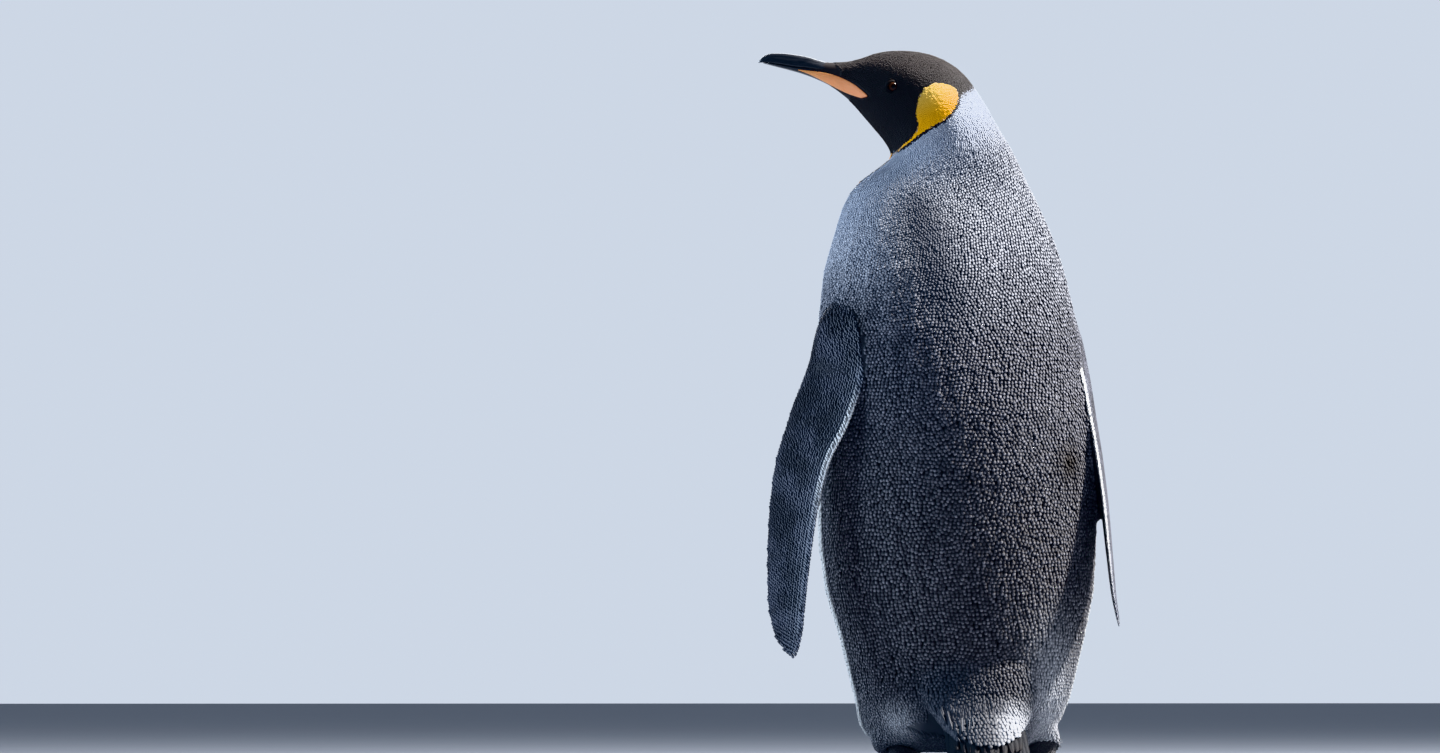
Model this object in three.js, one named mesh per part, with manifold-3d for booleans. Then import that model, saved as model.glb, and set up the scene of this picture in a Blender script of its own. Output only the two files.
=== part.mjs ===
// A king penguin, life size, standing still with its head turned over its left shoulder.
// Lengths are in millimetres and angles in degrees. +Z is up, the hips face -Y and +X is the
// bird's left.
import * as THREE from 'three';
import { mergeVertices } from 'three/addons/utils/BufferGeometryUtils.js';
import Module from 'manifold-3d';

const wasm = await Module();
wasm.setup();

// ---- driving dimensions -------------------------------------------------------------------------
const GAP = 0.3; // clearance between nodes that touch
const ORIGIN = [29.5, 17]; // where the middle of the outline stands, measured from the axis of the body
const PROFILE_TURN = -10; // the head's plane of symmetry, turned from +X towards -Y
const BODY_SIDES = 32;
const BODY_SQUARENESS = 2.12; // exponent of the body's rings: 2 is an ellipse, more is fuller

const EYE = { along: 76.5, up: 817.5, radius: 8.4, sunk: 6 };
const LID = { width: 7.4, height: 6.2, thick: 1.2 };

const FLIPPER_SIDES = 18;
const FLIPPER_RINGS = 18;

const HEEL_BACK = 24; // the heels stand this far behind the axis
const TOE_OUT = 9;
const TAIL_SHIFT = -5; // the tail leaves the hips this far to the bird's right of the axis

// ---- small tools --------------------------------------------------------------------------------
const rad = THREE.MathUtils.degToRad;
const V3 = (x, y, z) => new THREE.Vector3(x, y, z);
const range = (n) => Array.from({ length: n }, (_, i) => i);
const SIDES = { left: 1, right: -1 };
const bothSides = (make) => Object.values(SIDES).map(make);

// A smooth curve through rows of numbers at rising positions; it gives the row at any position.
function smoothRows(at, rows) {
  const slope = rows.map((row, i) => {
    const a = Math.max(i - 1, 0);
    const b = Math.min(i + 1, rows.length - 1);
    return row.map((_, k) => (rows[b][k] - rows[a][k]) / (at[b] - at[a]));
  });
  return (t) => {
    let i = 0;
    while (i < at.length - 2 && t > at[i + 1]) i += 1;
    const h = at[i + 1] - at[i];
    const s = THREE.MathUtils.clamp((t - at[i]) / h, 0, 1);
    const s2 = s * s;
    const s3 = s2 * s;
    return rows[i].map(
      (_, k) =>
        (2 * s3 - 3 * s2 + 1) * rows[i][k] +
        (s3 - 2 * s2 + s) * h * slope[i][k] +
        (3 * s2 - 2 * s3) * rows[i + 1][k] +
        (s3 - s2) * h * slope[i + 1][k],
    );
  };
}

// The same for one number: pairs of [position, value].
function track(...pairs) {
  const row = smoothRows(pairs.map((p) => p[0]), pairs.map((p) => [p[1]]));
  return (t) => row(t)[0];
}

// A closed surface with flat ends through rings of points. The points turn left as seen from the last ring.
// The two halves of a ring are split into triangles alike, so that thin shapes keep their thickness.
function loft(rings) {
  const n = rings[0].length;
  const points = rings.flat();
  const index = [];
  const middle = (ring) => ring.reduce((sum, p) => sum.add(p), V3(0, 0, 0)).divideScalar(n);
  for (const i of range(rings.length - 1)) {
    for (const j of range(n)) {
      const a = i * n + j;
      const b = i * n + ((j + 1) % n);
      if (j < n / 2) index.push(a, b, b + n, a, b + n, a + n);
      else index.push(a, b, a + n, b, b + n, a + n);
    }
  }
  const first = points.length;
  const last = first + 1;
  const end = (rings.length - 1) * n;
  points.push(middle(rings[0]), middle(rings.at(-1)));
  for (const j of range(n)) {
    index.push(first, (j + 1) % n, j, last, end + j, end + ((j + 1) % n));
  }
  return new THREE.BufferGeometry().setFromPoints(points).setIndex(index);
}

function solidOf(geometry) {
  const bare = geometry.clone();
  bare.deleteAttribute('normal');
  bare.deleteAttribute('uv');
  const merged = mergeVertices(bare, 1e-3);
  return new wasm.Manifold(
    new wasm.Mesh({
      numProp: 3,
      vertProperties: new Float32Array(merged.attributes.position.array),
      triVerts: new Uint32Array(merged.index.array),
    }),
  );
}

const joined = (solids) => solids.reduce((whole, s) => whole.add(s));
const cut = (solid, tools) => tools.reduce((rest, t) => rest.subtract(t), solid);
const largest = (solid) => solid.decompose().reduce((a, b) => (a.volume() > b.volume() ? a : b));

function geometryOf(solid) {
  const mesh = largest(solid).getMesh();
  return new THREE.BufferGeometry()
    .setAttribute('position', new THREE.BufferAttribute(mesh.vertProperties, 3))
    .setIndex(new THREE.BufferAttribute(mesh.triVerts, 1));
}

// ---- the profile plane --------------------------------------------------------------------------
// Body, head and flippers are laid out from a plane through the axis: `left` runs to the bird's left
// along it, the way the head looks, `back` is square to it and `up` is the height.
const ALONG = V3(Math.cos(rad(PROFILE_TURN)), Math.sin(rad(PROFILE_TURN)), 0);
const ACROSS = V3(-ALONG.y, ALONG.x, 0);
const UP = V3(0, 0, 1);
const place = (left, back, up) =>
  V3(0, 0, up).addScaledVector(ALONG, left).addScaledVector(ACROSS, back);

// ---- body: torso, neck and head -----------------------------------------------------------------
// Rings from the vent to the feathers at the bill. Each joins a point on the left or throat outline to
// one on the right or nape outline, then has its reach to the back and front (the head's left and right
// cheek) and the turn of its side axis from +X: the chest is turned 12 degrees on the hips.
const BODY_RINGS = [
  // throat side  nape side      back front turn
  [40, 54, -46, 54, 34, 34, 0],
  [73, 58, -75, 58, 54, 52, 0],
  [95, 66, -94, 66, 69, 68, 0],
  [108.5, 76, -107.5, 76, 81, 80, 0],
  [115.5, 91, -117, 91, 92, 91, 0],
  [118.5, 113, -126, 113, 103, 102, 0],
  [124, 137, -133.1, 137, 110, 112, 0],
  [134.4, 183, -143.4, 183, 116, 126, 1],
  [149, 229, -154.1, 229, 120, 137, 2],
  [157.2, 275, -157.5, 275, 122, 145, 3],
  [160.3, 335, -161.3, 335, 122, 150, 4],
  [158.9, 413, -161.6, 413, 118, 148, 6],
  [158, 459, -155.4, 459, 113, 143, 8],
  [157.9, 505, -146.1, 505, 106, 135, 10],
  [160.1, 540, -142, 540, 99, 127, 11],
  [160.9, 574, -134.1, 574, 91, 118, 12],
  [149.7, 620, -122.1, 620, 78, 103, 12],
  [140.9, 654, -110, 654, 69, 90, 11],
  [130.3, 689, -93.3, 689, 60, 77, 8],
  [113.4, 712, -80.3, 714, 56, 68, 4],
  [91.1, 728, -64.2, 746, 54, 61, -2],
  [83.1, 735, -50.5, 767, 52, 56, -7],
  [78.9, 738.6, -37.3, 790.5, 51, 52, -9],
  [77.5, 741.5, -22.6, 815.5, 49, 49, -10],
  [84.4, 755.5, -6.4, 836.5, 46, 46, -10],
  [94, 767.3, 13, 850.6, 42, 42, -10],
  [104.4, 779.8, 36, 859.4, 37, 37, -10],
  [114.6, 792, 60, 862.3, 31, 31, -10],
  [124.4, 802.6, 81, 861.8, 24.5, 24.5, -10],
  [134.6, 811, 97, 858.6, 19, 19, -10],
  [144.6, 818.3, 111, 853.4, 15.2, 15.2, -10],
  [154, 824, 125.5, 849.9, 12.6, 12.6, -10],
  [164, 829.2, 141.6, 849, 10.4, 10.4, -10],
  [174, 833.2, 158, 851, 8.5, 8.5, -10],
];
const bodyAt = smoothRows(range(BODY_RINGS.length), BODY_RINGS);
const LAST_RING = BODY_RINGS.length - 1;
const NECK_START = 19;
const HEAD_START = 23;

// The ring of the body at a position between the rows above, grown outwards and moved along its own axis.
function bodyRing(position, grow = 0, shift = 0) {
  const [leftEnd, leftUp, rightEnd, rightUp, back, front, turn] = bodyAt(position);
  const middle = place((leftEnd + rightEnd) / 2, 0, (leftUp + rightUp) / 2);
  const half = Math.hypot(leftEnd - rightEnd, leftUp - rightUp) / 2;
  const tilt = Math.atan2(leftUp - rightUp, leftEnd - rightEnd);
  const throat = ALONG.clone().multiplyScalar(Math.cos(tilt)).addScaledVector(UP, Math.sin(tilt));
  const onward = throat.clone().cross(ACROSS);
  const skew = rad(turn - PROFILE_TURN);
  const depth = (back + front) / 2;
  const side = Math.sqrt(half ** 2 - (depth * Math.sin(skew)) ** 2) / Math.cos(skew);
  middle.addScaledVector(onward, shift);
  return range(BODY_SIDES).map((j) => {
    const angle = (2 * Math.PI * j) / BODY_SIDES;
    const c = Math.cos(angle - skew);
    const s = Math.sin(angle - skew);
    const reach = s > 0 ? back : front;
    const n = BODY_SQUARENESS;
    const r = (Math.abs(c / side) ** n + Math.abs(s / reach) ** n) ** (-1 / n) + grow;
    return middle
      .clone()
      .addScaledVector(throat, r * Math.cos(angle))
      .addScaledVector(ACROSS, r * Math.sin(angle));
  });
}

// How far the cheek stands off the profile plane at a place on it; 0 in front of the feathers.
function cheekAt(along, up) {
  let [low, high] = [HEAD_START - 2, LAST_RING];
  // Whether the place lies behind the ring at a position.
  const beyond = (position) => {
    const [leftEnd, leftUp, rightEnd, rightUp] = bodyAt(position);
    return (leftEnd - rightEnd) * (up - rightUp) - (leftUp - rightUp) * (along - rightEnd) < 0;
  };
  if (!beyond(high)) return 0;
  while (high - low > 1e-4) {
    const middle = (low + high) / 2;
    if (beyond(middle)) high = middle;
    else low = middle;
  }
  const [leftEnd, leftUp, rightEnd, rightUp, reach] = bodyAt(low);
  const half = Math.hypot(leftEnd - rightEnd, leftUp - rightUp) / 2;
  const off = Math.hypot(along - (leftEnd + rightEnd) / 2, up - (leftUp + rightUp) / 2) / half;
  return reach * Math.max(1 - off ** BODY_SQUARENESS, 0) ** (1 / BODY_SQUARENESS);
}

// A length of the body between two positions, with rings at the listed positions between them.
function bodyLength(from, to, between, grow = 0) {
  const trim = GAP / 2;
  const first = from > 0 ? bodyRing(from, grow, trim - grow) : bodyRing(0, grow, -grow);
  const end = bodyRing(to, grow, grow - trim);
  return loft([first, ...between.map((p) => bodyRing(p, grow)), end]);
}

const stepped = (from, to, count) => range(count - 1).map((i) => from + ((to - from) * (i + 1)) / count);

const torsoRings = [...stepped(0, 6, 8), ...stepped(6, 15, 8), ...stepped(15, NECK_START, 6)];
const torsoShape = (grow) => solidOf(bodyLength(0, NECK_START, torsoRings, grow));
const torso = torsoShape(0);
const torsoGrown = torsoShape(GAP);
const neck = solidOf(bodyLength(NECK_START, HEAD_START, stepped(NECK_START, HEAD_START, 6)));
const skull = solidOf(bodyLength(HEAD_START, LAST_RING, stepped(HEAD_START, LAST_RING, 15)));

// ---- bill ---------------------------------------------------------------------------------------
// Two horny halves that meet along the gape, drawn as heights over the length along the profile plane,
// with an orange plate let into each side of the lower one.
const BILL_ROOT = 116;
const BILL_TIP = 229.6;
const LOWER_TIP = 224;
const culmen = track([116, 843], [139, 845.4], [158, 850.2], [172, 854.4], [192, 857.8], [208, 859],
  [217, 858.2], [223, 855.6], [227, 852.2], [229.6, 848.4]);
const gape = track([104, 807], [112, 814.5], [121, 822.3], [135, 830.8], [152, 836.8], [168, 840.2],
  [188, 842.4], [208, 845.8], [225, 848], [229.6, 847.4]);
const jaw = track([116, 801], [133, 812], [147, 821.3], [162, 828.6], [176, 834], [192, 838.8],
  [213, 844.2], [224, 847.2]);
const upperHalfWidth = track([116, 14], [128, 12.4], [139, 10.8], [158, 8.6], [172, 7.5], [192, 6.2],
  [210, 4.8], [220, 3.6], [226.5, 2.3], [229.6, 1]);
const lowerHalfWidth = track([116, 16], [128, 13.2], [140, 11.2], [158, 9], [174, 7.2], [192, 5.4],
  [232, 3.4]);
const BILL_SIDES = 12;

// A ring square to the profile plane: a dome over or under a flat side.
function domeRing(along, flat, crest, halfWidth, sides) {
  const dome = range(sides - 1).map((j) => {
    const angle = (Math.PI * j) / (sides - 2);
    const rise = Math.sin(angle) ** 0.85;
    return place(along, halfWidth * Math.cos(angle), flat + (crest - flat) * rise);
  });
  return [...dome, place(along, 0, flat)];
}

function upperBill(grow) {
  const stops = stepped(BILL_ROOT, BILL_TIP, 16);
  return solidOf(
    loft(
      [BILL_ROOT, ...stops, BILL_TIP].map((x) =>
        domeRing(x, gape(x) + GAP / 2 - grow, culmen(x) + grow, upperHalfWidth(x) + grow, BILL_SIDES),
      ),
    ),
  );
}

function lowerBill(grow) {
  const stops = stepped(BILL_ROOT, LOWER_TIP, 13);
  return solidOf(
    loft(
      [BILL_ROOT, ...stops, LOWER_TIP].map((x) => {
        const width = Math.min(lowerHalfWidth(x), upperHalfWidth(x) + 1.5) + grow;
        return domeRing(x, gape(x) - GAP / 2 + grow, jaw(x) - grow, width, BILL_SIDES).reverse();
      }),
    ),
  );
}

// Orange plate: a tear-drop let into the side of the face and the lower half, deepest near its rear end.
const PLATE = { from: 104.5, to: 184, proud: 0.8, sunk: 2.4, steps: 12, rows: 4 };
const plateTop = track([104.5, 808.2], [108, 811.8], [117, 819.7], [131.6, 828.4], [148, 834.4], [168, 838],
  [184, 839.8]);
const plateBottom = track([104.5, 806.6], [108, 805.2], [112, 805.6], [127.7, 811.6], [144, 820.2],
  [160, 828.8], [172.5, 834.6], [184, 838.8]);

// How far the face or the lower half of the bill stands off the profile plane.
function jawReach(along, up) {
  const share = THREE.MathUtils.clamp((gape(along) - up) / (gape(along) - jaw(along)), 0, 1);
  return Math.max(cheekAt(along, up), lowerHalfWidth(along) * Math.sqrt(1 - share ** 2.35));
}

function plate(side, grow) {
  const stops = stepped(PLATE.from, PLATE.to, PLATE.steps);
  const rows = range(PLATE.rows + 1).map((i) => i / PLATE.rows);
  const rings = [PLATE.from, ...stops, PLATE.to].map((x, k) => {
    const along = x + (k === 0 ? -grow : 0) + (k === stops.length + 1 ? grow : 0);
    const point = (share, off) => {
      const up = THREE.MathUtils.lerp(plateBottom(x), plateTop(x), share);
      const reach = Math.max(jawReach(x, up) + off, 0.5);
      return place(along, side * reach, up + grow * (2 * share - 1));
    };
    const outer = rows.map((share) => point(share, PLATE.proud * Math.sin(Math.PI * share) ** 0.5 + grow));
    const inner = rows.map((share) => point(1 - share, -PLATE.sunk - grow));
    return [...outer, ...inner];
  });
  if (side < 0) rings.forEach((ring) => ring.reverse());
  return solidOf(loft(rings));
}

const NOSTRIL = { along: 182, length: 14, up: 847.2, tall: 0.9, deep: 1.1 };

function nostril(side) {
  const slit = new THREE.SphereGeometry(1, 8, 6);
  slit.scale(NOSTRIL.length / 2, NOSTRIL.deep, NOSTRIL.tall);
  slit.rotateY(rad(-9));
  slit.rotateZ(rad(PROFILE_TURN));
  const at = place(NOSTRIL.along, side * (upperHalfWidth(NOSTRIL.along) - 0.2), NOSTRIL.up);
  slit.translate(at.x, at.y, at.z);
  return solidOf(slit);
}

const plates = bothSides((side) => plate(side, 0));
const platesGrown = bothSides((side) => plate(side, 2 * GAP));
const billUpper = cut(upperBill(0), bothSides(nostril));
const billLower = cut(lowerBill(0), platesGrown);

// ---- eyes and head ------------------------------------------------------------------------------
function eyeMiddle(side) {
  return place(EYE.along, side * (cheekAt(EYE.along, EYE.up) - EYE.sunk), EYE.up);
}

function eyeball(side, grow) {
  const ball = new THREE.SphereGeometry(EYE.radius + grow, 14, 9);
  const at = eyeMiddle(side);
  ball.translate(at.x, at.y, at.z);
  return solidOf(ball);
}

function eyelids(side) {
  const ring = new THREE.TorusGeometry(1, LID.thick / LID.width, 5, 16);
  ring.scale(LID.width, LID.height, LID.width);
  ring.rotateX(rad(90));
  ring.rotateZ(rad(PROFILE_TURN + side * 14));
  const at = eyeMiddle(side).addScaledVector(ACROSS, side * (EYE.sunk - 1.2));
  ring.translate(at.x, at.y, at.z);
  return solidOf(ring);
}

const eyes = bothSides((side) => eyeball(side, 0));
const head = cut(joined([skull, ...bothSides(eyelids)]), [
  ...bothSides((side) => eyeball(side, GAP)),
  upperBill(GAP),
  lowerBill(GAP),
  ...platesGrown,
]);

// ---- flippers -----------------------------------------------------------------------------------
// Each runs down a path from inside the shoulder to its tip. `lead` turns the leading edge outwards from
// straight ahead, across the profile plane: the left one is held open and the right one lies edge on.
const FLIPPERS = {
  left: {
    lead: 57,
    path: [[82, 44, 600], [112, 66, 572], [133, 78, 541], [141, 80, 491], [161, 82, 435],
      [178.5, 84, 391], [189, 86, 340], [195.5, 89, 278], [198, 92, 222], [196, 94, 190], [191.5, 95, 163]],
  },
  right: {
    lead: -4,
    path: [[-70, -26, 610], [-103, -36, 574], [-128, -42, 543], [-142.5, -28, 493], [-153, -10, 435],
      [-160, 4, 391], [-166, 21, 340], [-171, 43, 278], [-174.5, 62, 235], [-179.5, 84, 198.5]],
  },
};
const flipperChord = track([0, 44], [0.09, 52], [0.17, 62], [0.27, 75], [0.4, 80.5], [0.5, 72],
  [0.62, 65], [0.75, 57.5], [0.87, 48.5], [0.935, 38], [0.975, 24], [1, 9]);
const flipperThickness = track([0, 40], [0.09, 36], [0.17, 31], [0.27, 24], [0.4, 18.5], [0.5, 16],
  [0.62, 14], [0.75, 12], [0.87, 9.5], [0.93, 7.5], [0.975, 5.2], [1, 2.6]);

function flipper({ lead, path }, side) {
  const curve = new THREE.CatmullRomCurve3(path.map((p) => place(...p)), false, 'centripetal');
  const ahead = V3(0, 0, 0)
    .addScaledVector(ALONG, Math.sin(rad(lead)))
    .addScaledVector(ACROSS, -Math.cos(rad(lead)));
  const rings = range(FLIPPER_RINGS + 1).map((i) => {
    const t = 1 - (1 - i / FLIPPER_RINGS) ** 1.25;
    const down = curve.getTangentAt(t);
    const leading = ahead.clone().addScaledVector(down, -ahead.dot(down)).normalize();
    const outer = down.clone().cross(leading).multiplyScalar(-side);
    const middle = curve.getPointAt(t);
    const ring = range(FLIPPER_SIDES).map((j) => {
      const angle = (2 * Math.PI * j) / FLIPPER_SIDES;
      const forward = Math.cos(angle);
      const fullness = 0.42 + 0.58 * ((1 + forward) / 2) ** 0.8;
      const face = Math.sin(angle) > 0 ? 1.1 : 0.9;
      return middle
        .clone()
        .addScaledVector(leading, (flipperChord(t) / 2) * forward)
        .addScaledVector(outer, (flipperThickness(t) / 2) * Math.sin(angle) * fullness * face);
    });
    return side > 0 ? ring.reverse() : ring;
  });
  return cut(solidOf(loft(rings)), [torsoGrown]);
}

// ---- legs and feet ------------------------------------------------------------------------------
// Short feathered legs that leave the belly, with the shank in the foot's node. `heel` is where the shank
// stands, `rim` the height of the lowest feathers behind it, and `outer` and `inner` the leg's two edges.
const LEGS = {
  left: { heel: 71, rim: 55, outer: [98, 106, 109, 106, 100], inner: [46, 41, 38, 36, 36] },
  right: { heel: -91, rim: 58, outer: [-114, -115, -113, -108, -103], inner: [-66, -62, -59, -56, -52] },
};
const LEG_TOP = 118;
const LEG_SIDES = 18;
const RIM_SLOPE = 0.42; // the lowest feathers hang lower in front

// Rows of [back, front] over the leg's height, like the edges above.
const LEG_DEPTH = [[45, -1], [50, -7], [52, -13], [50, -20], [46, -24]];

function levelRing(x, y, z, halfX, halfY, sides, slope = 0) {
  return range(sides).map((j) => {
    const angle = (2 * Math.PI * j) / sides;
    const deep = halfY * Math.sin(angle);
    return V3(x + halfX * Math.cos(angle), y + deep, z + slope * deep);
  });
}

function leg(name) {
  const { rim, outer, inner } = LEGS[name];
  const rows = outer.map((edge, i) => [edge, inner[i], ...LEG_DEPTH[i]]);
  const at = smoothRows([0, 0.14, 0.32, 0.6, 1], rows);
  const rings = range(6).map((i) => {
    const share = (i / 5) ** 1.3;
    const [out, into, back, front] = at(share);
    const z = rim + share * (LEG_TOP - rim);
    const halfX = Math.abs(out - into) / 2;
    const slope = RIM_SLOPE * (1 - share);
    return levelRing((out + into) / 2, (back + front) / 2, z, halfX, (back - front) / 2, LEG_SIDES, slope);
  });
  return solidOf(loft(rings));
}

// Foot, in its own frame: the heel near the origin, the toes along -Y, the sole at height 0.
const SHANK = { low: [2, 4], top: [1, 74], halfWidth: 19.5, halfDepth: 15 };
const TOES = {
  inner: { angle: 21, length: 74, root: [-9, -22] },
  middle: { angle: 1, length: 92, root: [0, -24] },
  outer: { angle: -19, length: 82, root: [10, -21] },
};
const TOE = { width: 9.4, height: 16, endWidth: 6.6, endHeight: 10 };
const WEB_THICKNESS = 3.4;
const CLAW = { length: 23, halfWidth: 3.9, height: 4.2, overlap: 5 };
const HALLUX = { angle: 62, length: 21, root: [-13, -2], up: 9 };

// A dome over the floor at a point, square to a heading in the foot's frame.
function toeRing(x, y, heading, halfWidth, height, floor, sides) {
  const cross = V3(Math.cos(heading), -Math.sin(heading), 0);
  const dome = range(sides - 1).map((j) => {
    const angle = (Math.PI * j) / (sides - 2);
    const reach = halfWidth * Math.cos(angle);
    return V3(x, y, floor + height * Math.sin(angle) ** 0.8).addScaledVector(cross, reach);
  });
  return [...dome, V3(x, y, floor)];
}

const toeHeading = (angle) => V3(-Math.sin(rad(angle)), -Math.cos(rad(angle)), 0);

// The knuckles are slight swellings along the toe.
function toe({ angle, length, root }, grow) {
  const way = toeHeading(angle);
  const rings = range(9).map((i) => {
    const t = i / 8;
    const swell = 1 + 0.07 * Math.cos(t * 6 * Math.PI) * (1 - t);
    const end = Math.sqrt(Math.max(1 - Math.max(0, (t - 0.86) / 0.17) ** 2, 0.05));
    const width = THREE.MathUtils.lerp(TOE.width, TOE.endWidth, t) * swell * end + grow;
    const height = THREE.MathUtils.lerp(TOE.height, TOE.endHeight, t ** 0.7) * swell * end + grow;
    const at = V3(...root, 0).addScaledVector(way, length * t + grow * (t > 0.99 ? 1 : 0));
    return toeRing(at.x, at.y, rad(angle), width, height, -grow, 10);
  });
  return solidOf(loft(rings));
}

// The web is cut back in a curve between the toe ends.
function web() {
  const tip = ({ angle, length, root }, share) =>
    V3(...root, 0).addScaledVector(toeHeading(angle), length * share);
  const [a, b, c] = [tip(TOES.inner, 0.86), tip(TOES.middle, 0.86), tip(TOES.outer, 0.86)];
  const hollow = (p, q) => p.clone().add(q).divideScalar(2).add(V3(0, 17, 0));
  const shape = new THREE.Shape();
  shape.moveTo(-16, -12);
  shape.lineTo(a.x, a.y);
  shape.quadraticCurveTo(hollow(a, b).x, hollow(a, b).y, b.x, b.y);
  shape.quadraticCurveTo(hollow(b, c).x, hollow(b, c).y, c.x, c.y);
  shape.lineTo(17, -12);
  const sheet = { depth: WEB_THICKNESS, bevelEnabled: false, curveSegments: 6 };
  return solidOf(new THREE.ExtrudeGeometry(shape, sheet));
}

// Instep: from the round heel, under the shank, out to the roots of the toes.
function instep() {
  const width = track([0, 8], [0.12, 14], [0.45, 19], [0.8, 22], [1, 21]);
  const height = track([0, 10], [0.12, 17], [0.45, 25], [0.8, 18], [1, 13]);
  const rings = range(8).map((i) => toeRing(0, 15 - 55 * (i / 7), 0, width(i / 7), height(i / 7), 0, 13));
  return solidOf(loft(rings));
}

function shank(grow) {
  const [lowY, lowZ] = SHANK.low;
  const [topY, topZ] = SHANK.top;
  const rings = range(5).map((i) => {
    const t = i / 4;
    const waist = 1 - 0.1 * Math.sin(Math.PI * t);
    const y = THREE.MathUtils.lerp(lowY, topY, t);
    const z = THREE.MathUtils.lerp(lowZ, topZ + grow, t);
    return levelRing(0, y, z, SHANK.halfWidth * waist + grow, SHANK.halfDepth * waist + grow, 14);
  });
  return solidOf(loft(rings));
}

function halluxToe(grow) {
  const way = toeHeading(HALLUX.angle);
  const rings = range(5).map((i) => {
    const t = i / 4;
    const at = V3(...HALLUX.root, 0).addScaledVector(way, HALLUX.length * t * 0.62);
    const size = THREE.MathUtils.lerp(6, 4, t) + grow;
    return toeRing(at.x, at.y, rad(HALLUX.angle), size, 2 * size, HALLUX.up - 5 - grow, 10);
  });
  return solidOf(loft(rings));
}

// A claw is a curved horn that dips towards the floor, its root set in the toe's end.
function claw(root, angle, length, up, size) {
  const way = toeHeading(angle);
  const rings = range(6).map((i) => {
    const t = i / 5;
    const taper = (1 - t) ** 0.75 + 0.09;
    const height = up * (1 - 0.82 * t * t);
    const at = root.clone().addScaledVector(way, length * t);
    const half = CLAW.halfWidth * size * taper;
    const tall = CLAW.height * size * taper;
    const cross = V3(Math.cos(rad(angle)), -Math.sin(rad(angle)), 0);
    return range(8).map((j) => {
      const turn = (2 * Math.PI * j) / 8;
      return V3(at.x, at.y, Math.max(height, tall + 0.4) + tall * Math.sin(turn))
        .addScaledVector(cross, half * Math.cos(turn));
    });
  });
  return solidOf(loft(rings));
}

// Everything of one foot, mirrored for the right one, then set under its leg.
function footPieces(name) {
  const side = SIDES[name];
  const toes = Object.values(TOES);
  const body = joined([instep(), shank(0), web(), halluxToe(0), ...toes.map((t) => toe(t, 0))]);
  const claws = Object.fromEntries(
    Object.entries(TOES).map(([which, t]) => {
      const root = V3(...t.root, 0).addScaledVector(toeHeading(t.angle), t.length - CLAW.overlap);
      return [which, claw(root, t.angle, CLAW.length, 4.9, 1).subtract(toe(t, GAP))];
    }),
  );
  const halluxRoot = V3(...HALLUX.root, 0)
    .addScaledVector(toeHeading(HALLUX.angle), HALLUX.length * 0.62 - 3);
  claws.hallux = claw(halluxRoot, HALLUX.angle, 12, 8.6, 0.62).subtract(halluxToe(GAP));
  const set = (solid) => {
    const turned = solid.rotate([0, 0, TOE_OUT]);
    const sided = side > 0 ? turned : turned.mirror([1, 0, 0]);
    return sided.translate([LEGS[name].heel, HEEL_BACK, 0]);
  };
  return {
    foot: set(body).subtract(torsoGrown),
    shankGrown: set(shank(GAP)),
    claws: Object.fromEntries(Object.entries(claws).map(([which, c]) => [which, set(c)])),
  };
}

// ---- tail ---------------------------------------------------------------------------------------
// A stern that carries the line of the back down from the rump, with stiff narrow feathers in two tiers
// down to the floor and a third tier of shorter coverts over them. Stern rings run from [back, up] on top
// to [back, up] underneath and have a half width.
const STERN_RINGS = [
  [92, 182, 34, 128, 78],
  [108, 148, 60, 96, 74],
  [117.5, 124, 88, 78, 65],
  [126, 103, 112, 71, 54],
  [135, 83, 131, 73, 45],
  [141, 71, 139, 68, 41],
];
const STERN_SIDES = 22;
// Places in the tail are [along it, out from its middle, above it].
const TAIL_LEAN = 32; // from upright
const TAIL_WAY = V3(0, Math.sin(rad(TAIL_LEAN)), -Math.cos(rad(TAIL_LEAN)));
const TAIL_UP = V3(0, Math.cos(rad(TAIL_LEAN)), Math.sin(rad(TAIL_LEAN)));
const TAIL_ROOT = V3(TAIL_SHIFT, 131.5, 81);
const VANE_RINGS = 6;
const TIERS = [
  { count: 8, start: -24, length: 118, above: -2.3, width: 13, spread: 38 },
  { count: 7, start: -28, length: 124, above: 0, width: 13, spread: 32.6 },
  { count: 6, start: -34, length: 98, above: 2.3, width: 13.4, spread: 27.2 },
];
const FAN = 5; // the outermost feathers turn out by this angle
const VANE_THICKNESS = 1.3;

const tailPoint = (along, out, above) =>
  TAIL_ROOT.clone().addScaledVector(TAIL_WAY, along).addScaledVector(TAIL_UP, above).add(V3(out, 0, 0));

function stern() {
  const rings = STERN_RINGS.map(([topBack, topUp, lowBack, lowUp, half]) => {
    const top = V3(0, topBack, topUp);
    const low = V3(0, lowBack, lowUp);
    return range(STERN_SIDES).map((j) => {
      const angle = (-2 * Math.PI * j) / STERN_SIDES;
      const out = V3(TAIL_SHIFT + half * Math.cos(angle), 0, 0);
      return low.clone().lerp(top, (1 + Math.sin(angle)) / 2).add(out);
    });
  });
  return solidOf(loft(rings));
}

// Repeatable draw between -1 and 1.
function drawFrom(seed) {
  let state = seed;
  return () => {
    state = (state * 16807) % 2147483647;
    return (2 * state) / 2147483647 - 1;
  };
}

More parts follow.
